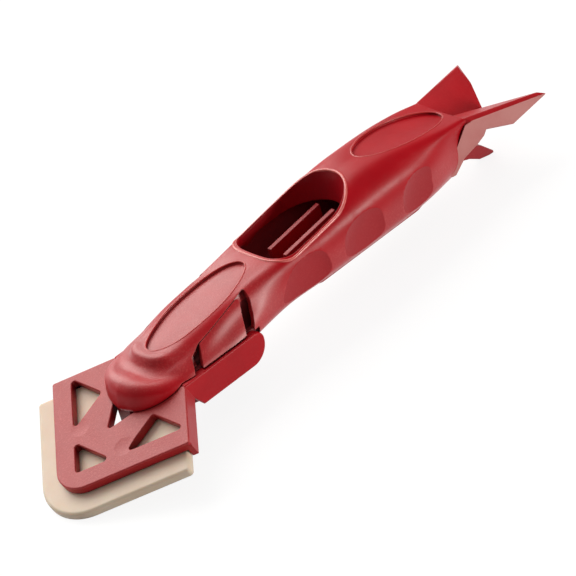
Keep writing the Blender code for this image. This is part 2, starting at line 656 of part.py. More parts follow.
def make_shell(coll, mat):
    shell = lofted("handle_shell", body_grid(), coll)

    slope = math.tan(plate_pitch)
    lift = fit_gap / math.cos(plate_pitch)
    start = body_start - nose_reach - overrun
    ceiling = arm_top + fit_gap
    pocket_rear = arm_rear + fit_gap
    pocket = [(start, start * slope + lift), ((ceiling - lift) / slope, ceiling), (pocket_rear, ceiling),
              (pocket_rear, -overrun), (start, -overrun)]
    reach = body_half_width + overrun
    combine(shell, prism("head_pocket", pocket, -reach, reach, coll, across=True), "DIFFERENCE")
    add_tail(shell, coll)

    grid = body_grid(wall)
    keep = (grid[:, 0, 0] > cavity_start) & (grid[:, 0, 0] < cavity_end)
    combine(shell, lofted("body_cavity", grid[keep], coll), "DIFFERENCE")

    outer = arm_outer - arm_thickness - fit_gap
    inner = outer - rail_thickness
    notch_slope = math.tan(notch_half_angle)
    place = keel_front * math.cos(plate_pitch) + keel_bottom * math.sin(plate_pitch) - notch_tip
    tip_half = place * notch_slope - fit_gap / math.cos(notch_half_angle)
    wide = keel_front + (outer - tip_half) / (notch_slope * math.cos(plate_pitch))
    keel_end_half = tip_half + (keel_rear - keel_front) * notch_slope * math.cos(plate_pitch)
    keel = [(keel_front, -tip_half), (keel_rear, -keel_end_half), (keel_rear, keel_end_half), (keel_front, tip_half)]
    if wide < keel_rear:
        keel = [(keel_front, -tip_half), (wide, -outer), (keel_rear, -outer), (keel_rear, outer),
                (wide, outer), (keel_front, tip_half)]
    keel = prism("keel", keel, keel_bottom, arm_top + overrun, coll)
    profile = [(keel_front, keel_bottom), (keel_rear, keel_bottom)] + list(keel_top_points)
    combine(keel, prism("keel_profile", profile, -reach, reach, coll, across=True), "INTERSECT")
    combine(shell, keel, "UNION")
    for sign in (1, -1):
        near, far = sorted((sign * inner, sign * outer))
        rail = [(keel_rear - rail_thickness, rail_bottom), (rail_turn, rail_bottom),
                (rail_turn + rail_rear_bottom - rail_bottom, rail_rear_bottom), (rail_rear, rail_rear_bottom),
                (rail_rear, rail_top), (keel_rear - rail_thickness, rail_top)]
        combine(shell, prism("rail", rail, near, far, coll, across=True), "UNION")
        near, far = sorted((sign * (inner_wall_outer - inner_wall_thickness), sign * inner_wall_outer))
        panel = [(keel_rear - rail_thickness, rail_bottom), (rail_turn, rail_bottom),
                 (rail_turn + rail_rear_bottom - rail_bottom, rail_rear_bottom),
                 (inner_wall_rear, rail_rear_bottom), (inner_wall_rear, body_height),
                 (keel_rear - rail_thickness, body_height)]
        panel = prism("inner_wall", panel, near, far, coll, across=True)
        top = oval_cut("wall_limit", 2 * body_length, 2 * body_half_width, body_start, wall / 3, coll)
        combine(panel, top, "DIFFERENCE")
        combine(shell, panel, "UNION")

    half = base_half_width - plug_inset
    mouth = [(base_front + plug_inset, -half), (plug_rear + fit_gap, -half),
             (plug_rear + fit_gap, half), (base_front + plug_inset, half)]
    low = rail_bottom - overrun
    combine(shell, prism("mouth", mouth, low, arm_top, coll), "DIFFERENCE")

    collar = chute_solid("collar", chute_wall, chute_foot, coll)
    combine(collar, lofted("collar_limit", body_grid(wall / 3), coll), "INTERSECT")
    combine(shell, collar, "UNION")
    combine(shell, chute_solid("chute", 0, chute_foot - overrun / 2, coll), "DIFFERENCE")

    combine(shell, oval_cut("nose_oval", nose_oval_length, nose_oval_width, nose_oval_place,
                            nose_oval_depth, coll), "DIFFERENCE")
    combine(shell, oval_cut("tail_oval", tail_oval_length, tail_oval_width, tail_oval_place,
                            tail_oval_depth, coll), "DIFFERENCE")

    for sign in (1, -1):
        for place, spread in zip(scallop_places, scallop_spreads):
            bm = bmesh.new()
            bmesh.ops.create_uvsphere(bm, u_segments=28, v_segments=18, radius=1)
            scale = Matrix.Diagonal((scallop_half_length, scallop_half_depth, scallop_half_height, 1))
            centre = Matrix.Translation((place, sign * spread, scallop_height))
            lean = Matrix.Rotation(scallop_lean, 4, "Y")
            bmesh.ops.transform(bm, verts=bm.verts, matrix=centre @ lean @ scale)
            scallop = new_object("scallop", finish_mesh(bm, "scallop"), coll)
            combine(shell, scallop, "DIFFERENCE")
        frame = side_frame(sign)
        field = prism("side_field", side_outline(frame, sign, True), -tab_thickness - tab_room, overrun,
                      coll, frame)
        floor = prism("field_floor", [(0, -overrun), (rail_rear + overrun, -overrun), (rail_rear + overrun, rail_top),
                                      (0, rail_top)], -reach, reach, coll, across=True)
        combine(field, floor, "DIFFERENCE")
        combine(shell, field, "DIFFERENCE")

    half = hook_width / 2 + fit_gap
    channel = [(hook_channel_front, 0), (hook_channel_rear, 0), (hook_channel_rear, hook_channel_top),
               (hook_channel_front, hook_channel_top)]
    combine(shell, prism("hook_channel", channel, -half, half, coll, across=True), "DIFFERENCE")
    shell.data.materials.clear()
    shell.data.materials.append(mat)
    return shell


def make_base(coll, mat):
    """The floor of the handle with its plug, the two ribs under the chute and the hook at the rear."""
    half = base_half_width
    corners = [(base_front, -half), (base_rear, -half), (base_rear, half), (base_front, half)]
    base = prism("handle_base", rounded(corners, [base_corner_radius] * 4, 6), base_bottom, mouth_bottom, coll)
    inset = plug_inset + fit_gap
    corners = [(base_front + inset, -half + inset), (plug_rear, -half + inset),
               (plug_rear, half - inset), (base_front + inset, half - inset)]
    middle = (base_bottom + mouth_bottom) / 2
    combine(base, prism("plug", rounded(corners, [base_corner_radius] * 4, 6), middle, plug_top, coll), "UNION")
    for sign in (1, -1):
        near, far = sorted((sign * rib_spread - rib_thickness / 2, sign * rib_spread + rib_thickness / 2))
        combine(base, prism("rib", rib_points, near, far, coll, across=True), "UNION")
    combine(base, prism("hook", hook_points, -hook_width / 2, hook_width / 2, coll, across=True), "UNION")
    base.data.materials.clear()
    base.data.materials.append(mat)
    return base


def rest_frame(objects):
    """Turn the tool so that blade tip and hook touch the floor together, centred over the origin."""
    points = sorted({(round(v.co.x / merge), round(v.co.z / merge)) for o in objects for v in o.data.vertices})
    lower = []
    for point in points:
        while len(lower) > 1:
            (x0, z0), (x1, z1) = lower[-2:]
            if (x1 - x0) * (point[1] - z0) - (z1 - z0) * (point[0] - x0) > 0:
                break
            lower.pop()
        lower.append(point)
    spans = [(b[0] - a[0], b[1] - a[1]) for a, b in zip(lower, lower[1:])]
    run, drop = max(spans)
    turn = Matrix.Rotation(math.atan2(drop, run), 4, "Y")
    turned = [turn @ v.co for o in objects for v in o.data.vertices]
    low = Vector([min(p[i] for p in turned) for i in range(3)])
    high = Vector([max(p[i] for p in turned) for i in range(3)])
    middle = (low + high) / 2
    return Matrix.Translation((-middle.x, -middle.y, -low.z - rest_flat)) @ turn


def place(obj, root, frame):
    """Give obj the origin and axes of frame and hang it on root; a mirrored frame has its first axis turned round."""
    if frame.determinant() < 0:
        frame = frame @ Matrix.Diagonal((-1, 1, 1, 1))
    obj.data.transform(frame.inverted())
    obj.parent = root
    obj.matrix_local = frame


def main():
    clear_scene()
    parts = make_collection("sealant_finishing_tool")
    red = make_material("moulded_red", (0.42, 0.02, 0.025), 0.35)
    head_red = make_material("moulded_red_head", (0.42, 0.02, 0.025), 0.35)
    base_red = make_material("moulded_red_base", (0.38, 0.02, 0.025), 0.35)
    tab_red = make_material("moulded_red_tabs", (0.42, 0.02, 0.025), 0.4)
    cream = make_material("cream_elastomer", (0.8, 0.7, 0.52), 0.5)
    head = make_head_frame(parts, head_red)
    blade = make_blade(parts, cream)
    shell = make_shell(parts, red)
    base = make_base(parts, base_red)
    right = make_tab("release_tab_right", 1, parts, tab_red)
    left = make_tab("release_tab_left", -1, parts, tab_red)

    pose = rest_frame((head, blade, shell, base, right, left))
    for obj in (blade, base):
        length = wing_tip[0]
        floor = prism("floor_cut", [(-length, -length), (length, -length), (length, length), (-length, length)],
                      -overrun, 0, parts, pose.inverted())
        combine(obj, floor, "DIFFERENCE")
    root = new_object("tool_root", None, parts)
    root.matrix_world = pose
    for obj, frame in ((shell, Matrix()), (base, Matrix()), (head, plate_frame()), (blade, plate_frame()),
                       (right, side_frame(1)), (left, side_frame(-1))):
        place(obj, root, frame)


main()
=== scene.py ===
import math

import bmesh
import bpy
import numpy as np
from mathutils import Matrix, Vector


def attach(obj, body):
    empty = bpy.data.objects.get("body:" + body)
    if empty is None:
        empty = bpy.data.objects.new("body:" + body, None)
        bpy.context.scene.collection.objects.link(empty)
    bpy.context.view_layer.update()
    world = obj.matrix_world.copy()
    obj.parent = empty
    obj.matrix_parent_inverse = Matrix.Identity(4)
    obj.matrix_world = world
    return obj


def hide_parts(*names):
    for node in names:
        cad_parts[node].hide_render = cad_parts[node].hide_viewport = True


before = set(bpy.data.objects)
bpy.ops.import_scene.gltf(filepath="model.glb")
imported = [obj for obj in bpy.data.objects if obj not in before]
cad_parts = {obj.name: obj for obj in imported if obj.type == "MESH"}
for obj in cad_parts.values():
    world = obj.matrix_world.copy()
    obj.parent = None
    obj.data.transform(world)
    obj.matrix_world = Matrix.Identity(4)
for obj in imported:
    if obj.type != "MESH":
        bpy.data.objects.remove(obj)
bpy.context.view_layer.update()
print("frame loaded:", ", ".join(sorted(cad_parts)))

# Shapes are worked out in millimetres on the tool's own axes: X from the blade's sharp corner to the tail,
# Y across, Z up. settle() turns a finished mesh into the frame's axes, where the tool rests on its tip and
# hook.
mm = 0.001
tiny = 0.002            # edges shorter than this go
restTurn = math.radians(4.098)
restShift = (-0.099889, 0, 0.006616)
rest = Matrix.Translation(restShift) @ Matrix.Rotation(restTurn, 4, "Y")
platePitch = math.radians(21.1)
plateAxes = Matrix.Rotation(-platePitch, 4, "Y")
# half the width of each cutter that goes right across the tool
wide = {"tail": 24, "keel": 22, "tab": 22, "pocket": 20, "lid": 20, "table": 30}
under = -4              # a height below the whole tool
noseSpan = (40, 90)     # X from before the tabs to behind them


# Meshes from arrays

def addObject(name, data):
    # a new object for the data, in the scene
    obj = bpy.data.objects.new(name, data)
    bpy.context.scene.collection.objects.link(obj)
    return obj


def copied(name, source):
    # a second object with a mesh of its own
    return addObject(name, source.data.copy())


def merge(bm, reach):
    # vertices nearer than the reach become one, and edges with no length go
    bmesh.ops.remove_doubles(bm, verts=bm.verts, dist=reach * mm)
    bmesh.ops.dissolve_degenerate(bm, edges=bm.edges, dist=tiny * mm)


def addMesh(name, points, faces):
    # points (millimetres, n x 3) and faces go in as they are; merging closes the poles and seams
    mesh = bpy.data.meshes.new(name)
    mesh.from_pydata((np.asarray(points, float).reshape(-1, 3) * mm).tolist(), [], faces)
    bm = bmesh.new()
    bm.from_mesh(mesh)
    merge(bm, tiny)
    bmesh.ops.recalc_face_normals(bm, faces=bm.faces)
    if bm.calc_volume(signed=True) < 0:
        bmesh.ops.reverse_faces(bm, faces=bm.faces)
    bm.to_mesh(mesh)
    bm.free()
    return addObject(name, mesh)


def loft(name, rings, closed=False):
    # rings (count x points x 3) joined by quads, point j of ring i to point j of ring i + 1; the ends are
    # filled, or the last ring joins the first
    rings = np.asarray(rings, float)
    rows, cols = rings.shape[:2]
    i, j = np.meshgrid(np.arange(rows if closed else rows - 1), np.arange(cols), indexing="ij")
    up, along = (i + 1) % rows, (j + 1) % cols
    quads = np.stack((i * cols + j, i * cols + along, up * cols + along, up * cols + j), axis=-1)
    ends = [] if closed else [list(range(cols)), list(range((rows - 1) * cols, rows * cols))]
    return addMesh(name, rings, quads.reshape(-1, 4).tolist() + ends)


def inward(outline):
    # at each corner p of a counter-clockwise outline, (n1 + n2) / (1 + n1.n2), where n1 and n2 are the unit
    # normals of its two edges: a step along it moves both edges in by one
    before = outline - np.roll(outline, 1, axis=0)
    after = np.roll(outline, -1, axis=0) - outline
    first, second = [np.stack((-e[:, 1], e[:, 0]), axis=1) / np.linalg.norm(e, axis=1, keepdims=True)
                     for e in (before, after)]
    return (first + second) / (1 + (first * second).sum(axis=1, keepdims=True))


def filleted(low, high, lowRadius, highRadius, steps=5):
    # (inset, height) pairs up the side of a slab, with a quarter circle at either edge: r (1 - cos a),
    # r (1 - sin a)
    turn = np.linspace(0, math.pi / 2, steps + 1)
    lower = [(lowRadius * (1 - math.sin(a)), low + lowRadius * (1 - math.cos(a))) for a in turn]
    upper = [(highRadius * (1 - math.cos(a)), high - highRadius * (1 - math.sin(a))) for a in turn]
    return lower + upper


def level(plan, height):
    # the plan's points, all at that height
    return np.column_stack((plan, np.full(len(plan), height)))


def slab(name, outline, profile, axes=None, upright=False):
    # ring k is the outline, first made counter-clockwise by the sign of sum(x_i y_i+1 - x_i+1 y_i), moved in
    # by the profile's inset k, at its height k; upright reads the outline as X and Z, and the height along Y
    outline = np.asarray(outline, float)
    x, y = outline.T
    if (x * np.roll(y, -1) - np.roll(x, -1) * y).sum() <= 0:
        outline = outline[::-1]
    step = inward(outline)
    rings = np.stack([level(outline + step * inset, height) for inset, height in profile])
    if upright:
        rings = rings[:, :, [0, 2, 1]]
    obj = loft(name, rings)
    if axes:
        obj.data.transform(axes)
    return obj


def block(name, outline, low, high, axes=None, upright=False):
    # a slab with straight sides
    return slab(name, outline, ((0, low), (0, high)), axes, upright)


def acrossBlock(name, outline, half):
    # an outline in X and Z, taken right across the tool
    return block(name, outline, -half, half, upright=True)


def rectangle(x0, x1, y0, y1):
    # its corners, counter-clockwise
    return [(x0, y0), (x1, y0), (x1, y1), (x0, y1)]


def roundedOutline(points, radii, steps=8):
    # corner p with radius r: an arc about p + b * r / sin(h), b the bisector and h half the corner's angle
    out = []
    points = np.asarray(points, float)
    for i, (corner, radius) in enumerate(zip(points, radii)):
        if radius == 0:
            out.append(corner[None])
            continue
        before, after = points[i - 1] - corner, points[(i + 1) % len(points)] - corner
        before, after = before / np.linalg.norm(before), after / np.linalg.norm(after)
        half = math.acos(np.clip(before @ after, -1, 1)) / 2
        bisector = (before + after) / np.linalg.norm(before + after)
        centre = corner + bisector * radius / math.sin(half)
        start, end = [corner + way * radius / math.tan(half) - centre for way in (before, after)]
        t = np.linspace(0, 1, steps + 1)[:, None]
        span = math.pi - 2 * half
        out.append(centre + (np.sin((1 - t) * span) * start + np.sin(t * span) * end) / math.sin(span))
    return np.concatenate(out)


def mirrored(points, sign):
    # the same on the +Y side for 1 and on the -Y side for -1
    return [(x, sign * y) for x, y in points]


def evaluated(obj):
    # a new mesh with the modifiers' result
    bpy.context.view_layer.update()
    return bpy.data.meshes.new_from_object(obj.evaluated_get(bpy.context.evaluated_depsgraph_get()))


def applied(obj):
    # the modifiers' result takes the place of the object's mesh
    mesh = evaluated(obj)
    obj.modifiers.clear()
    old, obj.data = obj.data, mesh
    bpy.data.meshes.remove(old)
    return obj


def combine(target, other, operation):
    # every mesh here is closed, so the quick solver for closed meshes does
    mod = target.modifiers.new("cut", "BOOLEAN")
    mod.operation = operation
    mod.solver = "MANIFOLD"
    mod.object = other
    applied(target)
    bpy.data.objects.remove(other)


def painted(obj, index):
    # every face takes the material slot of that number; a cut or a join carries it into the target
    obj.data.polygons.foreach_set("material_index", np.full(len(obj.data.polygons), index, np.int32))
    while len(obj.data.materials) <= index:
        obj.data.materials.append(None)
    return obj


def cut(target, *others):
    # the target less each of the others
    for other in others:
        combine(target, other, "DIFFERENCE")


def join(target, *others):
    # the target and each of the others as one solid
    for other in others:
        combine(target, other, "UNION")


def hull(name, points):
    # the smallest convex solid round the points
    bm = bmesh.new()
    for point in points:
        bm.verts.new(Vector(point) * mm)
    found = bmesh.ops.convex_hull(bm, input=bm.verts)
    spare = {v for v in found["geom_unused"] + found["geom_interior"] if isinstance(v, bmesh.types.BMVert)}
    bmesh.ops.delete(bm, geom=list(spare), context="VERTS")
    bmesh.ops.recalc_face_normals(bm, faces=bm.faces)
    mesh = bpy.data.meshes.new(name)
    bm.to_mesh(mesh)
    bm.free()
    return addObject(name, mesh)


def eased(obj, width, steps, angle):
    # every edge past the angle is rounded off by the width
    mod = obj.modifiers.new("ease", "BEVEL")
    mod.width = width * mm
    mod.segments = steps
    mod.limit_method = "ANGLE"
    mod.angle_limit = math.radians(angle)
    return applied(obj)


def settle(obj, body, slot, materials, *nodes, sharp=32):
    # merged, shaded smooth but for edges past the sharp angle, and turned into the frame's axes
    bm = bmesh.new()
    bm.from_mesh(obj.data)
    merge(bm, 2 * tiny)
    bm.to_mesh(obj.data)
    bm.free()
    obj.data.transform(rest)
    obj.data.shade_smooth()
    obj.data.set_sharp_from_angle(angle=math.radians(sharp))
    weigh = obj.modifiers.new("normals", "WEIGHTED_NORMAL")
    weigh.keep_sharp = True
    index = np.zeros(len(obj.data.polygons), np.int32)
    obj.data.polygons.foreach_get("material_index", index)
    obj.data.materials.clear()
    for material in materials:
        obj.data.materials.append(material)
    obj.data.polygons.foreach_set("material_index", np.minimum(index, len(materials) - 1))
    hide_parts(*nodes)
    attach(obj, body)
    print(obj.name, "rides on", body, "-", len(obj.data.polygons), "faces")


# Shader maths

class Value:
    # a socket that can be added, taken away, multiplied, divided and raised, each step one Math node
    def __init__(self, shade, socket):
        self.shade, self.socket = shade, socket

    def maths(self, operation, *others, swap=False):
        # the operation on this value and the others, or in reverse order
        values = [self, *others]
        if swap:
            values.reverse()
        return self.shade.node("ShaderNodeMath", {"operation": operation}, dict(enumerate(values)))

    __add__ = __radd__ = lambda self, other: self.maths("ADD", other)
    __sub__ = lambda self, other: self.maths("SUBTRACT", other)
    __rsub__ = lambda self, other: self.maths("SUBTRACT", other, swap=True)
    __mul__ = __rmul__ = lambda self, other: self.maths("MULTIPLY", other)
    __truediv__ = lambda self, other: self.maths("DIVIDE", other)
    __pow__ = lambda self, other: self.maths("POWER", other)

    def between(self, low, high, start=0, end=1):
        # start below low, end above high, and a smooth step from one to the other
        return self.shade.node("ShaderNodeMapRange", {"interpolation_type": "SMOOTHSTEP"}, {
            "Value": self, "From Min": low, "From Max": high, "To Min": start, "To Max": end})


class Shade:
    # one material, or another tree of nodes
    def __init__(self, name, tree=None):
        if tree:
            self.tree = tree
            return
        self.material = bpy.data.materials.new(name)
        self.material.use_nodes = True
        self.tree = self.material.node_tree
        self.surface = self.tree.nodes["Principled BSDF"]

    def plug(self, socket, value):
        # a link from a value, or a number or colour on the socket itself
        if isinstance(value, Value):
            self.tree.links.new(value.socket, socket)
        else:
            colour = isinstance(value, tuple) and socket.type == "RGBA"
            socket.default_value = (*value, 1) if colour else value

    def node(self, kind, settings=(), inputs=(), output=0):
        # any node from its type, settings and inputs; hands back one output
        node = self.tree.nodes.new(kind)
        for key, value in dict(settings).items():
            setattr(node, key, value)
        for key, value in dict(inputs).items():
            self.plug(node.inputs[key], value)
        return Value(self, node.outputs[output])

    def toolPlace(self):
        # Object coordinates turned back onto the tool's own axes, in millimetres
        place = self.node("ShaderNodeTexCoord", output="Object")
        turned = self.node("ShaderNodeMapping", {"vector_type": "TEXTURE"},
                           {"Vector": place, "Location": restShift, "Rotation": (0, restTurn, 0)})
        return self.node("ShaderNodeVectorMath", {"operation": "SCALE"}, {0: turned, "Scale": 1 / mm})

    def axes(self, place):
        # the place's x, y and z
        return [self.node("ShaderNodeSeparateXYZ", inputs={0: place}, output=i) for i in range(3)]

    def noise(self, place, size, detail=2, roughness=0.5):
        # size is the width of one feature, in millimetres
        return self.node("ShaderNodeTexNoise", inputs={
            "Vector": place, "Scale": 1 / size, "Detail": detail, "Roughness": roughness})

    def blend(self, factor, first, second):
        # from the first colour at 0 to the second at 1
        return self.node("ShaderNodeMix", {"data_type": "RGBA"}, {0: factor, 6: first, 7: second}, output=2)

    def edges(self, reach):
        # the rounded normal, and how far it leans from the true one: nought on a flat, rising at an edge
        near = self.node("ShaderNodeBevel", {"samples": 6}, {"Radius": reach * mm})
        true = self.node("ShaderNodeNewGeometry", output="Normal")
        return near, (1 - self.dot(near, true)).between(0.01, 0.3)

    def dot(self, first, second):
        # the cosine between two unit vectors
        return self.node("ShaderNodeVectorMath", {"operation": "DOT_PRODUCT"}, {0: first, 1: second},
                         output="Value")

    def bump(self, height, distance, normal):
        # the normal tilted by the height's slope, where 1 is the distance in millimetres
        return self.node("ShaderNodeBump", inputs={
            "Height": height, "Distance": distance * mm, "Strength": 1, "Normal": normal})

    def finish(self, **inputs):
        # what is given goes to the surface's sockets of those names
        for key, value in inputs.items():
            self.plug(self.surface.inputs[key.replace("_", " ")], value)
        return self.material


redLook = {
    "deep": (0.42, 0.002, 0.008),     # in the thick of the plastic
    "base": (0.56, 0.004, 0.012),
    "wearAndHighlight": (0.80, 0.12, 0.10),       # edges lighter: partly rubbed wear, partly painted highlight
    "sheenTint": (0.74, 0.12, 0.10),      # painted sheen: a paler pink mixed over the grained faces
    "chalk": (0.76, 0.31, 0.29),      # a pale, dull colour for the flat outer faces of the wings and flares
    "sheenVeil": 0.04, "sheenSpecks": 0.25,      # how much of the painted sheen lies all over, and how much in specks
    "sheen": 0.9, "sheenRoughness": 0.38,
    "edgeReach": 0.35, "edgeShare": 0.5,
    "grainSize": 0.5, "grainDepth": 0.14, "fineSize": 0.22, "fineShare": 0.10, "fineLoss": 0.05,
    "speckSize": 0.62, "speckRange": (0.48, 0.72), "speckRoughness": 0.06,
    "cloudSize": 14, "cloudRange": (0.3, 0.7), "cloudShare": 0.5, "chalkCloud": 0.25,
    "scuffSize": 3.1, "scuffRange": (0.4, 0.75), "scuffRoughness": 0.08,
    "smoothRoughness": 0.34, "grainRoughness": 0.46, "specular": 0.24,
    # painted shade in crevices: its colour, and the reach and range of the ambient occlusion that places it
    "creviceReach": 5.0, "creviceRange": (0.05, 0.75), "creviceShade": (0.05, 0.002, 0.004),
}


def redPlastic(name, grained, look=redLook, chalked=None):
    # grained is 1 where the moulding is grained and 0 where it is smooth, as a number for a whole surface or
    # a function of the place; chalked gives the same for faces that take a pale, dull colour. Grained faces
    # also take a painted sheen, and crevices a painted shade
    shade = Shade(name)
    place = shade.toolPlace()
    x, y, z = shade.axes(place)
    grainHere = grained(shade, x, y, z) if callable(grained) else grained
    edgeNormal, edge = shade.edges(look["edgeReach"])
    grain = shade.noise(place, look["grainSize"], 3, 0.65)
    speckle = shade.noise(place, look["speckSize"], 2, 0.6).between(*look["speckRange"])
    cloud = shade.noise(place, look["cloudSize"], 3).between(*look["cloudRange"])
    colour = shade.blend(cloud * look["cloudShare"], look["base"], look["deep"])
    # painted sheen and glints: grained faces are mixed towards a paler pink, a little all over and more in
    # specks
    colour = shade.blend((speckle * look["sheenSpecks"] + look["sheenVeil"]) * grainHere, colour, look["sheenTint"])
    # edges lighter: partly rubbed wear, partly painted highlight
    colour = shade.blend(edge * look["edgeShare"], colour, look["wearAndHighlight"])
    if chalked:
        share = 1 - look["chalkCloud"] + look["chalkCloud"] * cloud
        colour = shade.blend(chalked(shade, x, y, z) * share, colour, look["chalk"])
    # painted shade: the colour darkens in crevices, where ambient occlusion finds little open space
    openness = shade.node("ShaderNodeAmbientOcclusion", {"samples": 6},
                          {"Distance": look["creviceReach"] * mm}, output="AO")
    colour = shade.blend(1 - openness.between(*look["creviceRange"]), colour, look["creviceShade"])
    fine = shade.noise(place, look["fineSize"], 2)
    scuff = shade.noise(place, look["scuffSize"], 4, 0.6).between(*look["scuffRange"])
    roughness = (grainHere * (look["grainRoughness"] - look["smoothRoughness"]) + look["smoothRoughness"]
                 + scuff * look["scuffRoughness"] + speckle * grainHere * look["speckRoughness"])
    relief = grain * grainHere + fine * (look["fineShare"] - look["fineLoss"] * grainHere)
    return shade.finish(Base_Color=colour, Roughness=roughness,
                        Normal=shade.bump(relief, look["grainDepth"], edgeNormal),
                        Specular_IOR_Level=look["specular"], Coat_Weight=grainHere * look["sheen"],
                        Coat_Roughness=look["sheenRoughness"])


# Handle: the body between nose and tail

handle = {
    "start": 48, "length": 130, "halfWidth": 16, "height": 38, "noseReach": 18, "wall": 2.2,
    "noseSteps": (8, 8, 8, 8), "bodySteps": (12, 12, 12, 8, 13, 13, 12, 10, 15, 13, 7, 5),
    "ringSteps": (8, 8, 6, 7, 8, 9, 8, 5), "noseTurns": 4,
    "cavity": (51.5, 161), "cavityCoarse": 2.5, "collarCoarse": 2, "roofCoarse": 3,
    "coverParts": 3,    # inner walls end a third of a wall below the surface
}
stationShares = (0, 0.092, 0.184, 0.276, 0.339, 0.436, 0.538, 0.630, 0.708, 0.824, 0.921, 0.969, 1)
topShares = (0.626, 0.676, 0.722, 0.763, 0.776, 0.832, 0.897, 0.951, 0.940, 0.886, 0.824, 0.789, 0.763)
# One row for each rail below the crown: half widths, then heights, at the stations above
widthShares = (
    (0.280, 0.320, 0.337, 0.281, 0.281, 0.312, 0.312, 0.312, 0.312, 0.312, 0.312, 0.312, 0.300),
    (0.470, 0.537, 0.512, 0.487, 0.500, 0.550, 0.556, 0.562, 0.537, 0.587, 0.600, 0.600, 0.590),
    (0.575, 0.645, 0.590, 0.580, 0.610, 0.655, 0.665, 0.670, 0.655, 0.675, 0.670, 0.660, 0.645),
    (0.735, 0.755, 0.675, 0.670, 0.710, 0.755, 0.770, 0.769, 0.762, 0.750, 0.715, 0.680, 0.680),
    (0.887, 0.887, 0.800, 0.787, 0.806, 0.870, 0.906, 0.912, 0.906, 0.855, 0.710, 0.640, 0.640),
    (0.975, 1.000, 0.969, 0.856, 0.819, 0.881, 0.900, 0.900, 0.894, 0.820, 0.655, 0.600, 0.570),
    (0.950, 0.962, 0.937, 0.837, 0.794, 0.844, 0.856, 0.856, 0.850, 0.775, 0.600, 0.550, 0.520),
    (0.787, 0.800, 0.775, 0.700, 0.650, 0.681, 0.687, 0.687, 0.681, 0.615, 0.485, 0.440, 0.410),
)
heightShares = (
    (0.623, 0.674, 0.720, 0.761, 0.775, 0.832, 0.895, 0.947, 0.944, 0.893, 0.829, 0.795, 0.770),
    (0.608, 0.662, 0.711, 0.750, 0.768, 0.826, 0.882, 0.922, 0.931, 0.893, 0.835, 0.805, 0.785),
    (0.572, 0.638, 0.702, 0.745, 0.763, 0.812, 0.862, 0.893, 0.902, 0.881, 0.833, 0.802, 0.784),
    (0.548, 0.608, 0.678, 0.725, 0.745, 0.783, 0.827, 0.850, 0.857, 0.851, 0.824, 0.795, 0.780),
    (0.510, 0.535, 0.592, 0.642, 0.658, 0.690, 0.716, 0.727, 0.735, 0.737, 0.726, 0.711, 0.700),
    (0.455, 0.460, 0.474, 0.516, 0.526, 0.537, 0.547, 0.547, 0.553, 0.553, 0.558, 0.563, 0.565),
    (0.382, 0.379, 0.389, 0.408, 0.418, 0.426, 0.426, 0.424, 0.426, 0.426, 0.434, 0.442, 0.445),
    (0.347, 0.347, 0.350, 0.353, 0.358, 0.358, 0.355, 0.353, 0.353, 0.353, 0.358, 0.363, 0.366),
)
# The front end of each rail on the centre plane, from the crown down: how far forward, how high
noseReachShares = (0.05, 0.15, 0.26, 0.41, 0.74, 0.92, 0.98, 0.97, 0.75)
noseHeightShares = (0.621, 0.619, 0.607, 0.565, 0.541, 0.490, 0.405, 0.318, 0.290)


def splineThrough(points, steps):
    # natural cubic through a row of points, knotted by chord length: on span i, with b from 0 to 1 and
    # a = 1 - b, a p_i + b p_i+1 + ((a^3 - a) m_i + (b^3 - b) m_i+1) h^2 / 6, where the bends m solve the
    # usual three-term rows
    chord = np.linalg.norm(np.diff(points, axis=0), axis=1)
    chord = np.maximum(chord, 1e-9)
    count = len(points)
    rows = np.zeros((count, count))
    right = np.zeros((count, points.shape[1]))
    rows[0, 0] = rows[-1, -1] = 1
    for i in range(1, count - 1):
        rows[i, i - 1:i + 2] = chord[i - 1], 2 * (chord[i - 1] + chord[i]), chord[i]
        right[i] = 6 * ((points[i + 1] - points[i]) / chord[i] - (points[i] - points[i - 1]) / chord[i - 1])
    bend = np.linalg.solve(rows, right)
    out = [points[:1]]
    for i, parts in enumerate(steps):
        b = (np.arange(parts) + 1)[:, None] / parts
        a = 1 - b
        out.append(a * points[i] + b * points[i + 1]
                   + ((a ** 3 - a) * bend[i] + (b ** 3 - b) * bend[i + 1]) * chord[i] ** 2 / 6)
    return np.concatenate(out)


def bodyCage(h):
    # sections of one half: first p, the section at the start, swung in from the centre plane f as
    # f + (p - f) (1 - cos a, sin a, 1 - cos a), then the sections down the handle
    places = h["start"] + h["length"] * np.array(stationShares)
    widths = h["halfWidth"] * np.vstack((np.zeros(len(places)), widthShares))
    heights = h["height"] * np.vstack((topShares, heightShares))
    body = np.stack((np.broadcast_to(places, widths.shape), widths, heights), axis=2).transpose(1, 0, 2)
    front = np.stack((h["start"] - h["noseReach"] * np.array(noseReachShares), np.zeros(len(body[0])),
                      h["height"] * np.array(noseHeightShares)), axis=1)
    angle = math.pi / 2 * np.arange(h["noseTurns"]) / h["noseTurns"]
    turn = np.stack((1 - np.cos(angle), np.sin(angle), 1 - np.cos(angle)), axis=1)[:, None, :]
    return np.concatenate((front + (body[0] - front) * turn, body))


def gridNormals(grid):
    # cross product of the grid's two gradients, level across the centre plane
    normal = np.cross(np.gradient(grid, axis=0), np.gradient(grid, axis=1))
    normal /= np.maximum(np.linalg.norm(normal, axis=2, keepdims=True), 1e-12)
    normal[:, 0, 1] = 0
    normal[0, :, 1] = 0
    return normal


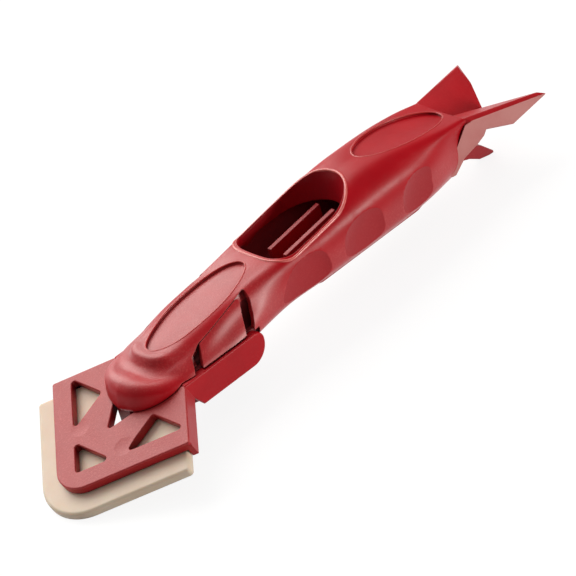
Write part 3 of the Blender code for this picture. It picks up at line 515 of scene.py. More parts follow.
def bodyGrid(h, inset=0, coarse=1):
    # splines across each section, then along each rail, moved in along the grid's own normals by inset
    rings = [max(1, round(s / coarse)) for s in h["ringSteps"]]
    runs = [max(1, round(s / coarse)) for s in h["noseSteps"] + h["bodySteps"]]
    fine = np.stack([splineThrough(section, rings) for section in bodyCage(h)])
    grid = np.stack([splineThrough(fine[:, j], runs) for j in range(fine.shape[1])], axis=1)
    grid[0, :, 1] = 0
    grid[:, 0, 1] = 0
    if inset:
        normal = gridNormals(grid)
        normal[0, 0] = normal[1, 0]
        grid = grid - normal * inset
    return grid


def bodySolid(name, grid):
    # each half section and its mirror image make one ring; an open end is laid flat first
    grid = grid.copy()
    for end in (0, -1):
        if grid[end, :, 1].max() > 0.005:
            grid[end, :, 0] = grid[end, :, 0].mean()
    return loft(name, np.concatenate((grid, grid[:, :0:-1] * (1, -1, 1)), axis=1))


noseRelief = {
    "place": 62, "halfLength": 18.7, "halfWidth": 11.1, "power": 2.7,
    "sideEnd": (62, 76), "upFrom": (0.05, 0.35),
    "ridge": (-0.2, 1.4, 0.5), "scoop": (3.8, 2.6, -1.0), "crease": (9.6, 1.6, 0.3), "dish": (-2, 1.4, 0.1),
    "flank": (6, 2.2, -0.75), "flankFrom": (2, 9),
    "calmAlong": (42, 49), "calmAcross": (8, 11), "calmShare": 0.8,
}


def smoothStep(value, low, high):
    # 0 below low, 1 above high and 3 t^2 - 2 t^3 between
    t = np.clip((value - low) / (high - low), 0, 1)
    return t * t * (3 - 2 * t)


def relieved(grid, r):
    # d is the distance outside a blunt oval, open to the rear, along its own radius; the surface moves along
    # its normals by the sum of height exp(-((d - place) / reach)^2) over the ridge, the scoop, the crease,
    # the dish and the flank, on faces that look up, and less beside the tabs
    normal = gridNormals(grid)
    along, across = np.minimum(grid[:, :, 0] - r["place"], 0), np.abs(grid[:, :, 1])
    power = r["power"]
    share = (np.abs(along / r["halfLength"]) ** power + (across / r["halfWidth"]) ** power) ** (1 / power)
    away = np.hypot(along, across) * (1 - 1 / np.maximum(share, 1e-6))
    lowest, span = r["upFrom"]
    up = np.clip((normal[:, :, 2] - lowest) / span, 0, 1)
    front, back = r["sideEnd"]
    fade = np.clip((back - grid[:, :, 0]) / (back - front), 0, 1)

    def wave(name):
        # one term of that sum
        place, reach, height = r[name]
        return height * np.exp(-((away - place) / reach) ** 2)

    start, end = r["flankFrom"]
    lift = sum(wave(name) for name in ("ridge", "scoop", "crease", "dish"))
    lift = lift + np.clip((across - start) / (end - start), 0, 1) * wave("flank")
    calm = smoothStep(grid[:, :, 0], *r["calmAlong"]) * smoothStep(across, *r["calmAcross"])
    lift = lift * up * fade * (1 - calm * r["calmShare"])
    return grid + normal * lift[:, :, None]


outerGrid = relieved(bodyGrid(handle), noseRelief)
bodyForm = bodySolid("bodyForm", outerGrid)
dropHeight = 60.0


def dropped(points):
    # height of the body straight below each (x, y), in millimetres, from loose vertices over it
    mesh = bpy.data.meshes.new("probe")
    mesh.vertices.add(len(points))
    mesh.vertices.foreach_set("co", (level(points, dropHeight) * mm).ravel())
    probe = addObject("probe", mesh)
    mod = probe.modifiers.new("drop", "SHRINKWRAP")
    mod.wrap_method = "PROJECT"
    mod.use_project_z = True
    mod.use_negative_direction = True
    mod.use_positive_direction = False
    mod.target = bodyForm
    mesh = evaluated(probe)
    found = np.empty(len(mesh.vertices) * 3)
    mesh.vertices.foreach_get("co", found)
    bpy.data.objects.remove(probe)
    bpy.data.meshes.remove(mesh)
    return found.reshape(-1, 3)[:, 2] / mm


def ellipse(s, share, out):
    # place + (a cos t, b sin t), where a and b are half the length and the width, times share, plus out
    turn = np.linspace(0, 2 * math.pi, s["count"], endpoint=False)
    return np.column_stack((s["place"] + (s["length"] / 2 * share + out) * np.cos(turn),
                            (s["width"] / 2 * share + out) * np.sin(turn)))


def ovalCutter(name, s):
    # floor rings are the ellipse scaled by growing shares; wall and lip rings are it moved outwards; each
    # lies at the body's height under hypot(y, ease) plus its rise, and the last goes up to the top
    depth, lip = s["depth"], s["lip"]
    levels = [(ellipse(s, share, 0), s["ease"] * (1 - share ** 2), -depth) for share in s["floorShares"]]
    levels += [(ellipse(s, 1, out), 0, rise - depth) for out, rise in s["wallSteps"]]
    levels += [(ellipse(s, 1, lip * out), 0, lip * rise) for out, rise in s["lipSteps"]]
    rings = []
    for plan, ease, rise in levels:
        spots = np.column_stack((plan[:, 0], np.hypot(plan[:, 1], ease)))
        rings.append(np.column_stack((plan, dropped(spots) + rise)))
    return loft(name, rings + [level(plan, s["top"])])


ovalMake = {
    "depth": 0.9, "lip": 0.12, "ease": 4, "top": 50, "count": 120,
    "beadOut": 0.2, "beadSink": 0.16, "beadRadius": 0.3,
    "floorShares": (0.02, 0.14, 0.28, 0.42, 0.56, 0.7, 0.83, 0.93),
    "wallSteps": ((-0.32, 0), (-0.1, 0.06), (0, 0.2)),              # out from the ellipse, up from the floor
    "lipSteps": ((0.25, -1.6), (0.4, -0.5), (1, 0), (1.5, 0.5), (2, 1.5)),      # both times the lip
}
ovals = {
    "nose": dict(ovalMake, place=66.7, length=41, width=15.4),
    "tail": dict(ovalMake, place=155.5, length=34.4, width=16.8),
}

window = {
    "front": 90.8, "rear": 129.5, "half": 12.3, "frontBow": 9, "rearBow": 13.5, "frontPower": 3,
    "footFront": 92.2, "footRear": 126.2, "footHalf": 11.4, "foot": 26.8, "wall": 1.4, "turns": 40,
    "chamfer": 0.12, "chamferSteps": ((0.55, -0.25), (1.3, 0.3), (2.4, 1.6)),
    "rimHeight": 36.0, "topHeight": 38, "footOver": 2, "collarTop": 42.0, "clear": 48.0,
    "lipOut": 0.3, "lipSink": 0.2, "lipRadius": 0.48,
}


def windowOutline(w, front, rear, half, margin):
    # rear: half an ellipse; front: |cos|^(2/p), |sin|^(2/p) of a blunt superellipse
    a = np.linspace(-math.pi / 2, math.pi / 2, w["turns"], endpoint=False)
    back = np.column_stack((rear - w["rearBow"] + (w["rearBow"] + margin) * np.cos(a),
                            (half + margin) * np.sin(a)))
    b = a + math.pi
    power = 2 / w["frontPower"]
    reach = np.abs(np.cos(b)) ** power * (w["frontBow"] + margin)
    side = np.sign(np.sin(b)) * np.abs(np.sin(b)) ** power * (half + margin)
    return np.concatenate((back, np.column_stack((front + w["frontBow"] - reach, side))))


def windowRings(w, margin, heights):
    # between foot and rim outlines, the outline at height z is foot + (rim - foot) (z - foot) / (top - foot)
    rim = windowOutline(w, w["front"], w["rear"], w["half"], margin)
    foot = windowOutline(w, w["footFront"], w["footRear"], w["footHalf"], margin)
    rings = []
    for z in heights:
        z = np.broadcast_to(z, len(foot))
        share = np.clip((z - w["foot"]) / (w["topHeight"] - w["foot"]), 0, None)[:, None]
        rings.append(np.column_stack((foot + (rim - foot) * share, z)))
    return rings


def rimOutline(w, margin):
    # the opening in plan at the height of its rim, moved out by the margin
    return windowRings(w, margin, (w["rimHeight"],))[0][:, :2]


def windowCutter(w, low):
    # the tapered opening with a small chamfer that follows the body's surface along the rim
    rim = rimOutline(w, 0)
    surface = dropped(rim)
    c = w["chamfer"]
    rings = windowRings(w, 0, (low, w["foot"], surface - c))
    for out, rise in w["chamferSteps"]:
        rings += windowRings(w, c * out, (surface + c * rise,))
    rings += windowRings(w, c * out, (w["clear"],))
    return loft("windowCut", rings)


def bead(name, plan, sink, radius, sides=14):
    # a round bead along a closed outline: centre p on the surface, points p + r (cos a * out + sin a * up)
    centre = np.column_stack((plan, dropped(plan) - sink))
    along = np.roll(centre, -1, axis=0) - np.roll(centre, 1, axis=0)
    along /= np.linalg.norm(along, axis=1, keepdims=True)
    out = np.cross(along, (0, 0, 1))
    out /= np.linalg.norm(out, axis=1, keepdims=True)
    up = np.cross(out, along)
    a = np.linspace(0, 2 * math.pi, sides, endpoint=False)[:, None, None]
    return loft(name, centre + radius * (np.cos(a) * out + np.sin(a) * up), closed=True)


scallops = {
    "places": (97, 123, 149.5), "spreads": (15.5, 16.5, 16.1), "height": 17.5,
    "halfLength": 12.4, "halfHeight": 14, "halfDepth": 3, "lean": math.radians(20), "steps": (48, 28),
}


def ellipsoid(name, centre, halves, lean, steps):
    # (a cos u cos v, b sin u cos v, c sin v), leant about Y
    u = np.linspace(0, 2 * math.pi, steps[0], endpoint=False)
    v = np.linspace(-math.pi / 2, math.pi / 2, steps[1])[:, None]
    rings = np.stack((halves[0] * np.cos(u) * np.cos(v), halves[1] * np.sin(u) * np.cos(v),
                      halves[2] * np.sin(v) * np.ones_like(u)), axis=2)
    turn = np.array(((math.cos(lean), 0, math.sin(lean)), (0, 1, 0), (-math.sin(lean), 0, math.cos(lean))))
    return loft(name, rings @ turn.T + np.array(centre))


tabs = {
    "hingeFront": (56.6, 12.6, 23.4), "hingeRear": (75.4, 10.9, 27.6),
    "footFront": (52.3, 16, 17), "footRear": (70.4, 15.9, 17.4),
    "frontSlot": ((0.6, -0.3), (4.2, 0.9), (3.7, 16)),             # away from the tab, down from the hinge
    "rearSlot": ((3.4, 16), (4.7, 7), (4.6, 3.5), (3.1, -0.3)),
    "bottom": 17.7, "deep": 16, "thickness": 2.1, "room": 0.9, "outside": 6,
    "cornerRadius": 0.6, "slotRadius": 1.2, "endRadius": 0.4, "cornerSteps": 5,
    "hingeGap": 0.03, "hingeDepth": 0.2, "innerGap": 0.32,
}


def tabCorners(sign):
    # the two ends of the hinge and the two corners below them
    return [Vector((x, sign * y, z)) for x, y, z in (
        tabs["hingeFront"], tabs["hingeRear"], tabs["footFront"], tabs["footRear"])]


def sidePanel(sign):
    # axes of a side panel: along the hinge, down the panel, outwards
    front, rear, footFront, footRear = tabCorners(sign)
    along = (rear - front).normalized()
    down = (footFront + footRear - front - rear).normalized()
    out = along.cross(down).normalized()
    down = out.cross(along).normalized()
    if out.y * sign < 0:
        out = -out
    axes = Matrix((along, down, out)).transposed().to_4x4()
    axes.translation = (front + rear) / 2
    return axes


def sideCorners(axes, sign):
    # the panel's two upper corners on its own axes, and how far either end leans for each millimetre down
    front, rear, footFront, footRear = [(axes.inverted() @ corner).to_2d() for corner in tabCorners(sign)]
    return (front, rear, (footFront.x - front.x) / (footFront.y - front.y),
            (footRear.x - rear.x) / (footRear.y - rear.y))


def slotOutline(axes, sign, lift):
    # the tab's outline with the slot at either end; its upper edge is the lift above the hinge
    front, rear, frontLean, rearLean = sideCorners(axes, sign)
    end, slot = tabs["endRadius"], tabs["slotRadius"]
    points = [(rear.x + away + rearLean * deep, max(deep, -lift))
              for away, deep in tabs["rearSlot"][::-1]]
    points += [(front.x - away + frontLean * deep, max(deep, -lift))
               for away, deep in tabs["frontSlot"][::-1]]
    return roundedOutline(points, (end, slot, slot, 0, 0, slot, end), tabs["cornerSteps"])


def fromPanel(obj, axes):
    # from the panel's axes, placed in millimetres, to the tool's own; left-handed ones turn the faces round
    scaled = axes.copy()
    scaled.translation = axes.translation * mm
    obj.data.transform(scaled)
    if axes.determinant() < 0:
        obj.data.flip_normals()
    return obj


def sideCutter(sign, floor):
    # the room for a tab: narrow at the hinge, wider inside, and open below down to the floor
    axes, t = sidePanel(sign), tabs
    near = slotOutline(axes, sign, t["hingeGap"])
    far = slotOutline(axes, sign, t["innerGap"])
    rings = (level(far, -t["thickness"] - t["room"]), level(far, -t["thickness"]),
             level(near, -t["hingeDepth"]), level(near, t["outside"]))
    field = fromPanel(loft("sideCut", rings), axes)
    cut(field, acrossBlock("fieldFloor", rectangle(0, noseSpan[1], under, floor), wide["tab"]))
    return field


wing = {
    "ridge": (173.5, 10.5, 30.7), "flare": (175.1, 12.5, 29.3), "tip": (200.2, 20, 26.4),
    "heel": (187.6, 16.2, 21.7), "armpit": (178.9, 13.6, 24.6), "root": (172, 10.6, 26),
    "valleyFront": (175.6, 0, 27), "valleyEnd": (190, 0, 20.7), "valleyFoot": (184.5, 0, 17.4),
    "valleyRoot": (171, 0, 21.9), "rearBulge": (196.2, 10.5, 24.3), "tipInner": (198.2, 17.9, 27.4),
}
tail = {
    "flareWall": 2, "ease": {"width": 0.25, "steps": 3, "angle": 20},
    "endPoints": ((178.9, 24.6), (177.5, 22.7), (174.8, 20.9), (169.8, 18.5), (165.8, 14.3)),
    "flareFront": ((164.4, 14.2), (164, 15.4), (168.6, 23.5), (172.6, 29)),
    "trimTop": 42, "trimOver": 4,
}
slots = {"body": 0, "inside": 1, "wing": 2, "wall": 3, "scallop": 4, "lip": 5, "rim": 6}


def flareSlope():
    # how far the flares spread for each millimetre along X
    (x0, y0, _), (x1, y1, _) = wing["flare"], wing["tip"]
    return (y1 - y0) / (x1 - x0)


def addTail(shell, t):
    # the handle's end is cut off along the flares' rear edges, and on a slope from the ridges down to the
    # valley; then each side gets its flare, a sheet along the line from the flare's front to the wing's tip,
    # and its wing, the hull of the points above
    over = t["trimOver"]
    rear = wing["tip"][0] + over
    ends = list(t["endPoints"])
    trim = ends + [(ends[-1][0], under), (rear, under), (rear, ends[0][1])]
    cut(shell, acrossBlock("tailTrim", trim, wide["tail"]))
    (x0, _, z0), (x1, _, z1) = wing["ridge"], wing["valleyFront"]
    slope = (x1 - x0) / (z1 - z0)
    high, low = t["trimTop"], ends[0][1] - over
    trim = [(x0 + (high - z0) * slope, high), (x0 + (low - z0) * slope, low), (rear, low), (rear, high)]
    cut(shell, acrossBlock("endTrim", trim, wide["tail"]))
    x0, y0, z0 = wing["flare"]
    slope = flareSlope()
    stretch = math.sqrt(1 + slope ** 2)
    outline = [((x - x0) * stretch, z) for x, z in ((x0, z0),) + t["endPoints"] + t["flareFront"]]
    for sign in (1, -1):
        turn = Matrix.Rotation(sign * math.atan(slope), 4, "Z")
        axes = Matrix.Translation((x0 * mm, sign * y0 * mm, 0)) @ turn
        low, high = sorted((0, -sign * t["flareWall"]))
        join(shell, painted(block("flare", outline, low, high, axes, upright=True), slots["wing"]))
        points = [(x, sign * y, z) for x, y, z in wing.values()]
        join(shell, painted(eased(hull("wing", points), **t["ease"]), slots["wing"]))


notch = {"tip": 25.7, "angle": math.radians(29.5)}     # behind the plate's windows; the keel fits in it
inside = {
    "armOuter": 16.5, "armThickness": 2.7, "armTop": 17.1, "armRear": 76, "gap": 0.3,
    "keelFront": 31.3, "keelRear": 49.5, "keelBottom": 6.6,
    "keelTop": ((49.5, 18.6), (37.5, 18.2), (31.3, 12.7)),
    "railBottom": 8.4, "railTop": 17, "railThickness": 1.8, "railRear": 78.1, "railTurn": 70,
    "railRearBottom": 15.1,
    "wallOuter": 9.2, "wallThickness": 1.6, "wallRear": 78.5, "wallTop": 38, "keelOver": 4,
    "lid": (12, 60),
    "mouth": {"front": 106.6, "rear": 158.9, "half": 7.4, "top": 17.1, "bottom": 4},
    "hookChannel": {"front": 155, "rear": 171, "half": 2.1, "top": 17.2},
    "pocketOver": 4,
}


def addInside(shell, h, s):
    # the keel in the plate's notch, the rails along the arms and the two walls under the nose, whose tops are
    # cut off a little below the body's surface
    outer = s["armOuter"] - s["armThickness"] - s["gap"]
    front, rear, bottom = s["keelFront"], s["keelRear"], s["keelBottom"]
    slope = math.tan(notch["angle"])
    lean = math.cos(platePitch)
    near = front * lean + bottom * math.sin(platePitch) - notch["tip"]
    tip = near * slope - s["gap"] / math.cos(notch["angle"])
    fullAt = front + (outer - tip) / (slope * lean)
    plan = [(front, -tip), (fullAt, -outer), (rear, -outer), (rear, outer), (fullAt, outer), (front, tip)]
    keel = painted(block("keel", plan, bottom, s["armTop"] + s["keelOver"]), slots["inside"])
    profile = [(front, bottom), (rear, bottom), *s["keelTop"]]
    combine(keel, acrossBlock("keelProfile", profile, wide["keel"]), "INTERSECT")
    join(shell, keel)
    front = rear - s["railThickness"]
    low, high, turn = s["railBottom"], s["railRearBottom"], s["railTurn"]
    foot = [(front, low), (turn, low), (turn + high - low, high)]
    rail, panel = [foot + [(end, high), (end, top), (front, top)] for end, top in (
        (s["railRear"], s["railTop"]), (s["wallRear"], s["wallTop"]))]
    roof = bodySolid("roof", relieved(bodyGrid(h, h["wall"] / h["coverParts"], h["roofCoarse"]), noseRelief))
    for sign in (1, -1):
        low, high = sorted((sign * (outer - s["railThickness"]), sign * outer))
        join(shell, painted(block("rail", rail, low, high, upright=True), slots["inside"]))
        low, high = sorted((sign * (s["wallOuter"] - s["wallThickness"]), sign * s["wallOuter"]))
        wall = block("innerWall", panel, low, high, upright=True)
        lid = block("lid", rectangle(*noseSpan, -wide["lid"], wide["lid"]), *s["lid"])
        cut(lid, copied("cover", roof))
        cut(wall, lid)
        join(shell, painted(wall, slots["inside"]))
    bpy.data.objects.remove(roof)


def headPocket(s):
    # what the head's plate and arms slide in: under the plate's slope and the arms' ceiling, a gap away from
    # both
    slope = math.tan(platePitch)
    lift = s["gap"] / math.cos(platePitch)
    start = handle["start"] - handle["noseReach"] - s["pocketOver"]
    top, rear = s["armTop"] + s["gap"], s["armRear"] + s["gap"]
    pocket = [(start, start * slope + lift), ((top - lift) / slope, top), (rear, top), (rear, under),
              (start, under)]
    return acrossBlock("headPocket", pocket, wide["pocket"])


def makeHandle():
    # the body less its pocket, cavity, window, ovals, scallops and tab slots, with its tail, inner walls,
    # collar and beads
    h, s, w, p = handle, inside, window, scallops
    shell = copied("handleSkin", bodyForm)
    for _ in slots:
        shell.data.materials.append(None)
    cut(shell, headPocket(s))
    addTail(shell, tail)
    grid = relieved(bodyGrid(h, h["wall"], h["cavityCoarse"]), noseRelief)
    keep = (grid[:, 0, 0] > h["cavity"][0]) & (grid[:, 0, 0] < h["cavity"][1])
    cut(shell, painted(bodySolid("cavity", grid[keep]), slots["inside"]))
    addInside(shell, h, s)
    m = s["mouth"]
    cut(shell, block("mouth", rectangle(m["front"], m["rear"], -m["half"], m["half"]), m["bottom"], m["top"]))
    collar = loft("collar", windowRings(w, w["wall"], (w["foot"], w["collarTop"])))
    limit = bodySolid("collarLimit", bodyGrid(h, h["wall"] / h["coverParts"], h["collarCoarse"]))
    combine(collar, limit, "INTERSECT")
    join(shell, collar)
    cut(shell, painted(windowCutter(w, w["foot"] - w["footOver"]), slots["wall"]))
    lip = bead("windowLip", rimOutline(w, w["lipOut"]), w["lipSink"], w["lipRadius"])
    join(shell, painted(lip, slots["lip"]))
    for oval in ovals.values():
        cut(shell, ovalCutter("oval", oval))
        rim = bead("ovalRim", ellipse(oval, 1, oval["beadOut"]), oval["beadSink"], oval["beadRadius"])
        join(shell, painted(rim, slots["rim"]))
    halves = (p["halfLength"], p["halfDepth"], p["halfHeight"])
    for sign in (1, -1):
        for place, spread in zip(p["places"], p["spreads"]):
            scallop = ellipsoid("scallop", (place, sign * spread, p["height"]), halves, p["lean"], p["steps"])
            cut(shell, painted(scallop, slots["scallop"]))
        cut(shell, sideCutter(sign, s["railTop"]))
    c = s["hookChannel"]
    cut(shell, block("hookChannel", rectangle(c["front"], c["rear"], 0, c["top"]), -c["half"], c["half"],
                     upright=True))
    return shell


def hingeRise():
    # how much the tabs' hinge line rises for each millimetre along X
    (x0, _, z0), (x1, _, z1) = tabs["hingeFront"], tabs["hingeRear"]
    return (z1 - z0) / (x1 - x0)


grainMask = {
    "ring": (0.98, 1.02), "hinge": (-0.5, 0.1), "bandStart": (50, 58), "noseEnd": (84, 96),
    "sideTop": (20, 28), "tipTop": (17.5, 20.5), "tipEnd": (42, 50),
    "bandShare": 0.9, "sideShare": 0.8, "tipShare": 0.85,
}


def handleGrain(shade, x, y, z):
    # the nose, its side panels, the floor of its oval and the handle's sides are grained; the band between
    # the oval and the panels, the handle's upper side and the window's surround are smooth
    # the painted sheen follows this mask, so grained faces are paler; the tip term keeps it off the low front
    # of the nose
    m, oval = grainMask, ovals["nose"]
    across = y / (oval["width"] / 2)
    along = (x - oval["place"]) / (oval["length"] / 2)
    ring = (across * across + along * along) ** 0.5
    hinge = z - (x - tabs["hingeFront"][0]) * hingeRise() - tabs["hingeFront"][2]
    band = ring.between(*m["ring"]) * hinge.between(*m["hinge"]) * x.between(*m["bandStart"])
    nose = (1 - x.between(*m["noseEnd"])) * (1 - band * m["bandShare"])
    side = 1 - z.between(*m["sideTop"])
    tip = (1 - z.between(*m["tipTop"])) * (1 - x.between(*m["tipEnd"]))
    return nose.maths("MAXIMUM", side * m["sideShare"]) * (1 - tip * m["tipShare"])


def flareFace(shade, x, y, z):
    # 1 on the flat outer faces of the two wings and the flares that carry them
    x0, y0, _ = wing["flare"]
    side = y.maths("ABSOLUTE") - (x - x0) * flareSlope() - y0
    return side.between(-0.25, -0.1)


# painted shade: the inside faces are a darker, duller red, with darker crevices
insideShadeLook = dict(redLook, base=(0.30, 0.03, 0.035), deep=(0.22, 0.02, 0.025), wearAndHighlight=(0.42, 0.06, 0.06),
                  sheenTint=(0.32, 0.06, 0.06), creviceShade=(0.20, 0.03, 0.035))
# painted shade: the window's walls are a darker red, with a longer reach for the crevice shade
wallShadeLook = dict(redLook, base=(0.40, 0.002, 0.009), deep=(0.30, 0.002, 0.007), creviceReach=11)
# painted shade: the scallops are a darker red than the body
scallopShadeLook = dict(redLook, base=(0.46, 0.007, 0.014), deep=(0.40, 0.005, 0.011))
# painted highlight: the window's lip bead is a pale pink-red, far lighter than the body
lipHighlightLook = dict(redLook, base=(0.86, 0.17, 0.15), deep=(0.80, 0.12, 0.11), smoothRoughness=0.22, edgeShare=0,
               specular=0.8)
# painted highlight: the oval rims are a lighter red than the body
rimHighlightLook = dict(lipHighlightLook, base=(0.64, 0.04, 0.04), deep=(0.58, 0.02, 0.02), specular=0.5)
handleSkin = makeHandle()
handleRed = redPlastic("handleRed", handleGrain)
insideShadeRed = redPlastic("insideShadeRed", 0.3, insideShadeLook)
wingRed = redPlastic("wingRed", 0.3, chalked=flareFace)
wallShadeRed = redPlastic("wallShadeRed", 0.1, wallShadeLook)
scallopShadeRed = redPlastic("scallopShadeRed", 0.3, scallopShadeLook)
lipHighlightRed = redPlastic("lipHighlightRed", 0.05, lipHighlightLook)
rimHighlightRed = redPlastic("rimHighlightRed", 0.3, rimHighlightLook)
shellReds = (handleRed, insideShadeRed, wingRed, wallShadeRed, scallopShadeRed, lipHighlightRed, rimHighlightRed)
settle(handleSkin, "handle", "handle_plastic", shellReds, "handle_shell")


# Tabs in the sides of the nose

def makeTab(name, sign):
    # the panel cut from the body itself, its upper edge on the hinge
    axes, t = sidePanel(sign), tabs
    front, rear, frontLean, rearLean = sideCorners(axes, sign)
    deep, corner = t["deep"], t["cornerRadius"]
    plan = roundedOutline([(rear.x, rear.y), (rear.x + rearLean * deep, deep),
                           (front.x + frontLean * deep, deep), (front.x, front.y)],
                          (corner, 0, 0, corner), t["cornerSteps"])
    tab = fromPanel(block(name, plan, -t["thickness"], t["outside"]), axes)
    combine(tab, copied("limit", bodyForm), "INTERSECT")
    cut(tab, acrossBlock("tabFloor", rectangle(*noseSpan, under, t["bottom"]), wide["tab"]))
    return tab


tabRed = redPlastic("tabRed", 1.0)
settle(makeTab("tabSkinRight", 1), "tab_right", "tab_plastic", (tabRed,), "release_tab_right")
settle(makeTab("tabSkinLeft", -1), "tab_left", "tab_plastic", (tabRed,), "release_tab_left")


# Head: plate, flanges, arms and pegs

head = {
    "edge": 45, "thickness": 2.9, "noseRadius": 10, "cornerRadius": 0.8, "rearRun": 15.3,
    "topFillet": 0.5, "footFillet": 0.3, "notchRadius": 0.7,
    "windowMargin": 6.7, "frontWindowBase": 17.7, "sideWindowInner": 12, "sideWindowRear": 35.6,
    "windowRadius": 0.9, "windowChamfer": 0.3, "windowOver": 3, "step": 0.01,
    "flangeHeight": 6, "flangeThickness": 1.9, "flangeFillet": 0.4, "buriedFillet": 0.01,
    "armFillet": 0.55, "armInnerFillet": 0.3, "armHeight": 9.8, "armFrontTop": 44.2,
    "armTongue": (42.8, 15.4), "armFrontFoot": 48.9, "armTopRadius": 3.1, "armFootRadius": 6.5,
    "pegRadius": 2, "pegPlace": 22.8, "pegSpread": 10.1, "pegRise": 0.9, "pegFillet": 0.4,
    "bladeThickness": 3, "dimpleRadius": 3.3, "dimpleDepth": 0.22, "dimpleSteps": (96, 96),
    "grainFrom": (-0.7, -0.15), "edgeGrain": 0.25,
}
headSlots = {"plate": 0, "arm": 1}
# the plate's grain takes more painted sheen than the handle's
headLook = dict(redLook, base=(0.50, 0.008, 0.015), deep=(0.42, 0.004, 0.011), sheenVeil=0.16, sheenSpecks=0.3,
                sheen=0.6)
armLook = dict(redLook, specular=0.18)


def disc(radius, place, count=40):
    # place + radius (cos t, sin t)
    a = np.linspace(0, 2 * math.pi, count, endpoint=False)
    return np.column_stack((place[0] + radius * np.cos(a), place[1] + radius * np.sin(a)))


def plateOutline(p):
    # two edges at right angles from the rounded nose, and a rear edge with a notch, as wide as the arms
    corner = p["edge"] * math.sin(math.pi / 4)
    rear, half = corner + p["rearRun"], inside["armOuter"]
    tip, spread = notch["tip"], (rear - notch["tip"]) * math.tan(notch["angle"])
    points = [(0, 0), (corner, -corner), (rear, -half), (rear, -spread), (tip, 0), (rear, spread),
              (rear, half), (corner, corner)]
    return roundedOutline(points, (p["noseRadius"], p["cornerRadius"], 0, 0, p["notchRadius"], 0, 0,
                                   p["cornerRadius"]), 14)


def plateWindows(p):
    # three triangles, each with two sides along the plate's edges and a margin inside them
    shift = p["windowMargin"] * math.sqrt(2)
    far = p["frontWindowBase"]
    holes = [[(shift, 0), (far, shift - far), (far, far - shift)]]
    inner, rear = p["sideWindowInner"], p["sideWindowRear"]
    for sign in (1, -1):
        holes.append(mirrored([(inner + shift, inner), (rear, rear - shift), (rear, inner)], sign))
    return [roundedOutline(points, [p["windowRadius"]] * 3, 6) for points in holes]


def rearRun(p):
    # from the plate's corner to its arm on the +Y side: both ends, the way along and the way inwards
    corner = p["edge"] * math.sin(math.pi / 4)
    start, end = Vector((corner, corner)), Vector((corner + p["rearRun"], inside["armOuter"]))
    run = (end - start).normalized()
    return start, end, run, Vector((run.y, -run.x))


def makeHead():
    # the plate, its windows cut first, then a flange under either rear run, the arms, the pegs and two faint
    # dimples over the pegs, each the cap of a ball of radius (r^2 + deep^2) / (2 deep)
    p, s = head, inside
    t = p["thickness"]
    plate = slab("headSkin", plateOutline(p), filleted(-t, 0, p["footFillet"], p["topFillet"]), plateAxes)
    for _ in headSlots:
        plate.data.materials.append(None)
    c, out = p["windowChamfer"], p["windowOver"]
    hole = ((-c, -t - out), (-c, -t - p["step"]), (0, -t + c), (0, -c), (-c, p["step"]), (-c, out))
    for plan in plateWindows(p):
        cut(plate, slab("windowHole", plan, hole, plateAxes))
    start, end, _, side = rearRun(p)
    thick = side * p["flangeThickness"]
    outline = (start, end, end + thick, start + thick)
    profile = filleted(-p["flangeHeight"], -t / 2, p["flangeFillet"], p["buriedFillet"])
    for sign in (1, -1):
        join(plate, slab("flange", mirrored(outline, sign), profile, plateAxes))
    half = s["armOuter"]
    low, top = s["armTop"] - p["armHeight"], s["armTop"]
    outline = roundedOutline([(p["armFrontFoot"], low), (s["armRear"], low), (s["armRear"], top),
                              (p["armFrontTop"], top), p["armTongue"]],
                             (0, p["armFootRadius"], p["armTopRadius"], 0, 0), 12)
    for sign in (1, -1):
        near, far = sorted((sign * (half - s["armThickness"]), sign * half))
        radii = (p["armInnerFillet"], p["armFillet"])[::sign]
        arm = slab("arm", outline, filleted(near, far, *radii), upright=True)
        join(plate, painted(arm, headSlots["arm"]))
    foot = -t - s["gap"] - p["bladeThickness"] - p["pegRise"]
    profile = filleted(foot, -t / 2, p["pegFillet"], p["buriedFillet"])
    r, deep = p["dimpleRadius"], p["dimpleDepth"]
    ball = (r * r + deep * deep) / (2 * deep)
    for sign in (1, -1):
        x, y = p["pegPlace"], sign * p["pegSpread"]
        join(plate, slab("peg", disc(p["pegRadius"], (x, y)), profile, plateAxes))
        dimple = ellipsoid("dimple", (x, y, ball - deep), (ball, ball, ball), 0, p["dimpleSteps"])
        dimple.data.transform(plateAxes)
        cut(plate, dimple)
    return plate


def plateGrain(shade, x, y, z):
    # grained on the upper face, at z cos(pitch) - x sin(pitch) = 0, and nearly smooth down the edges
    # the painted sheen follows this mask, so the top is paler and the edges a deeper red
    rise = z * math.cos(platePitch) - x * math.sin(platePitch)
    return rise.between(*head["grainFrom"], head["edgeGrain"], 1)


headRed = redPlastic("headRed", plateGrain, headLook)
armRed = redPlastic("armRed", 0.15, armLook)
settle(makeHead(), "head", "head_plastic", (headRed, armRed), "head_frame", sharp=40)


# Soft blade

blade = {
    "lip": 7, "endInset": 2.2, "notchTip": 19.2, "notchKnee": (29, 8.3), "notchRear": 13, "rearMargin": 6,
    "cornerRadius": 1.2, "noseRadius": 17, "softRadius": 1.2, "notchRadii": (0.7, 1), "stepRadius": 0.2,
    "arcSteps": 16, "holeOver": 2,
    "profile": ((0.35, -2.92), (0.12, -2.84), (0, -2.62), (0, -1.2), (0.05, -0.85), (0.2, -0.5),
                (0.42, -0.22), (0.7, -0.06), (1, 0)),
}


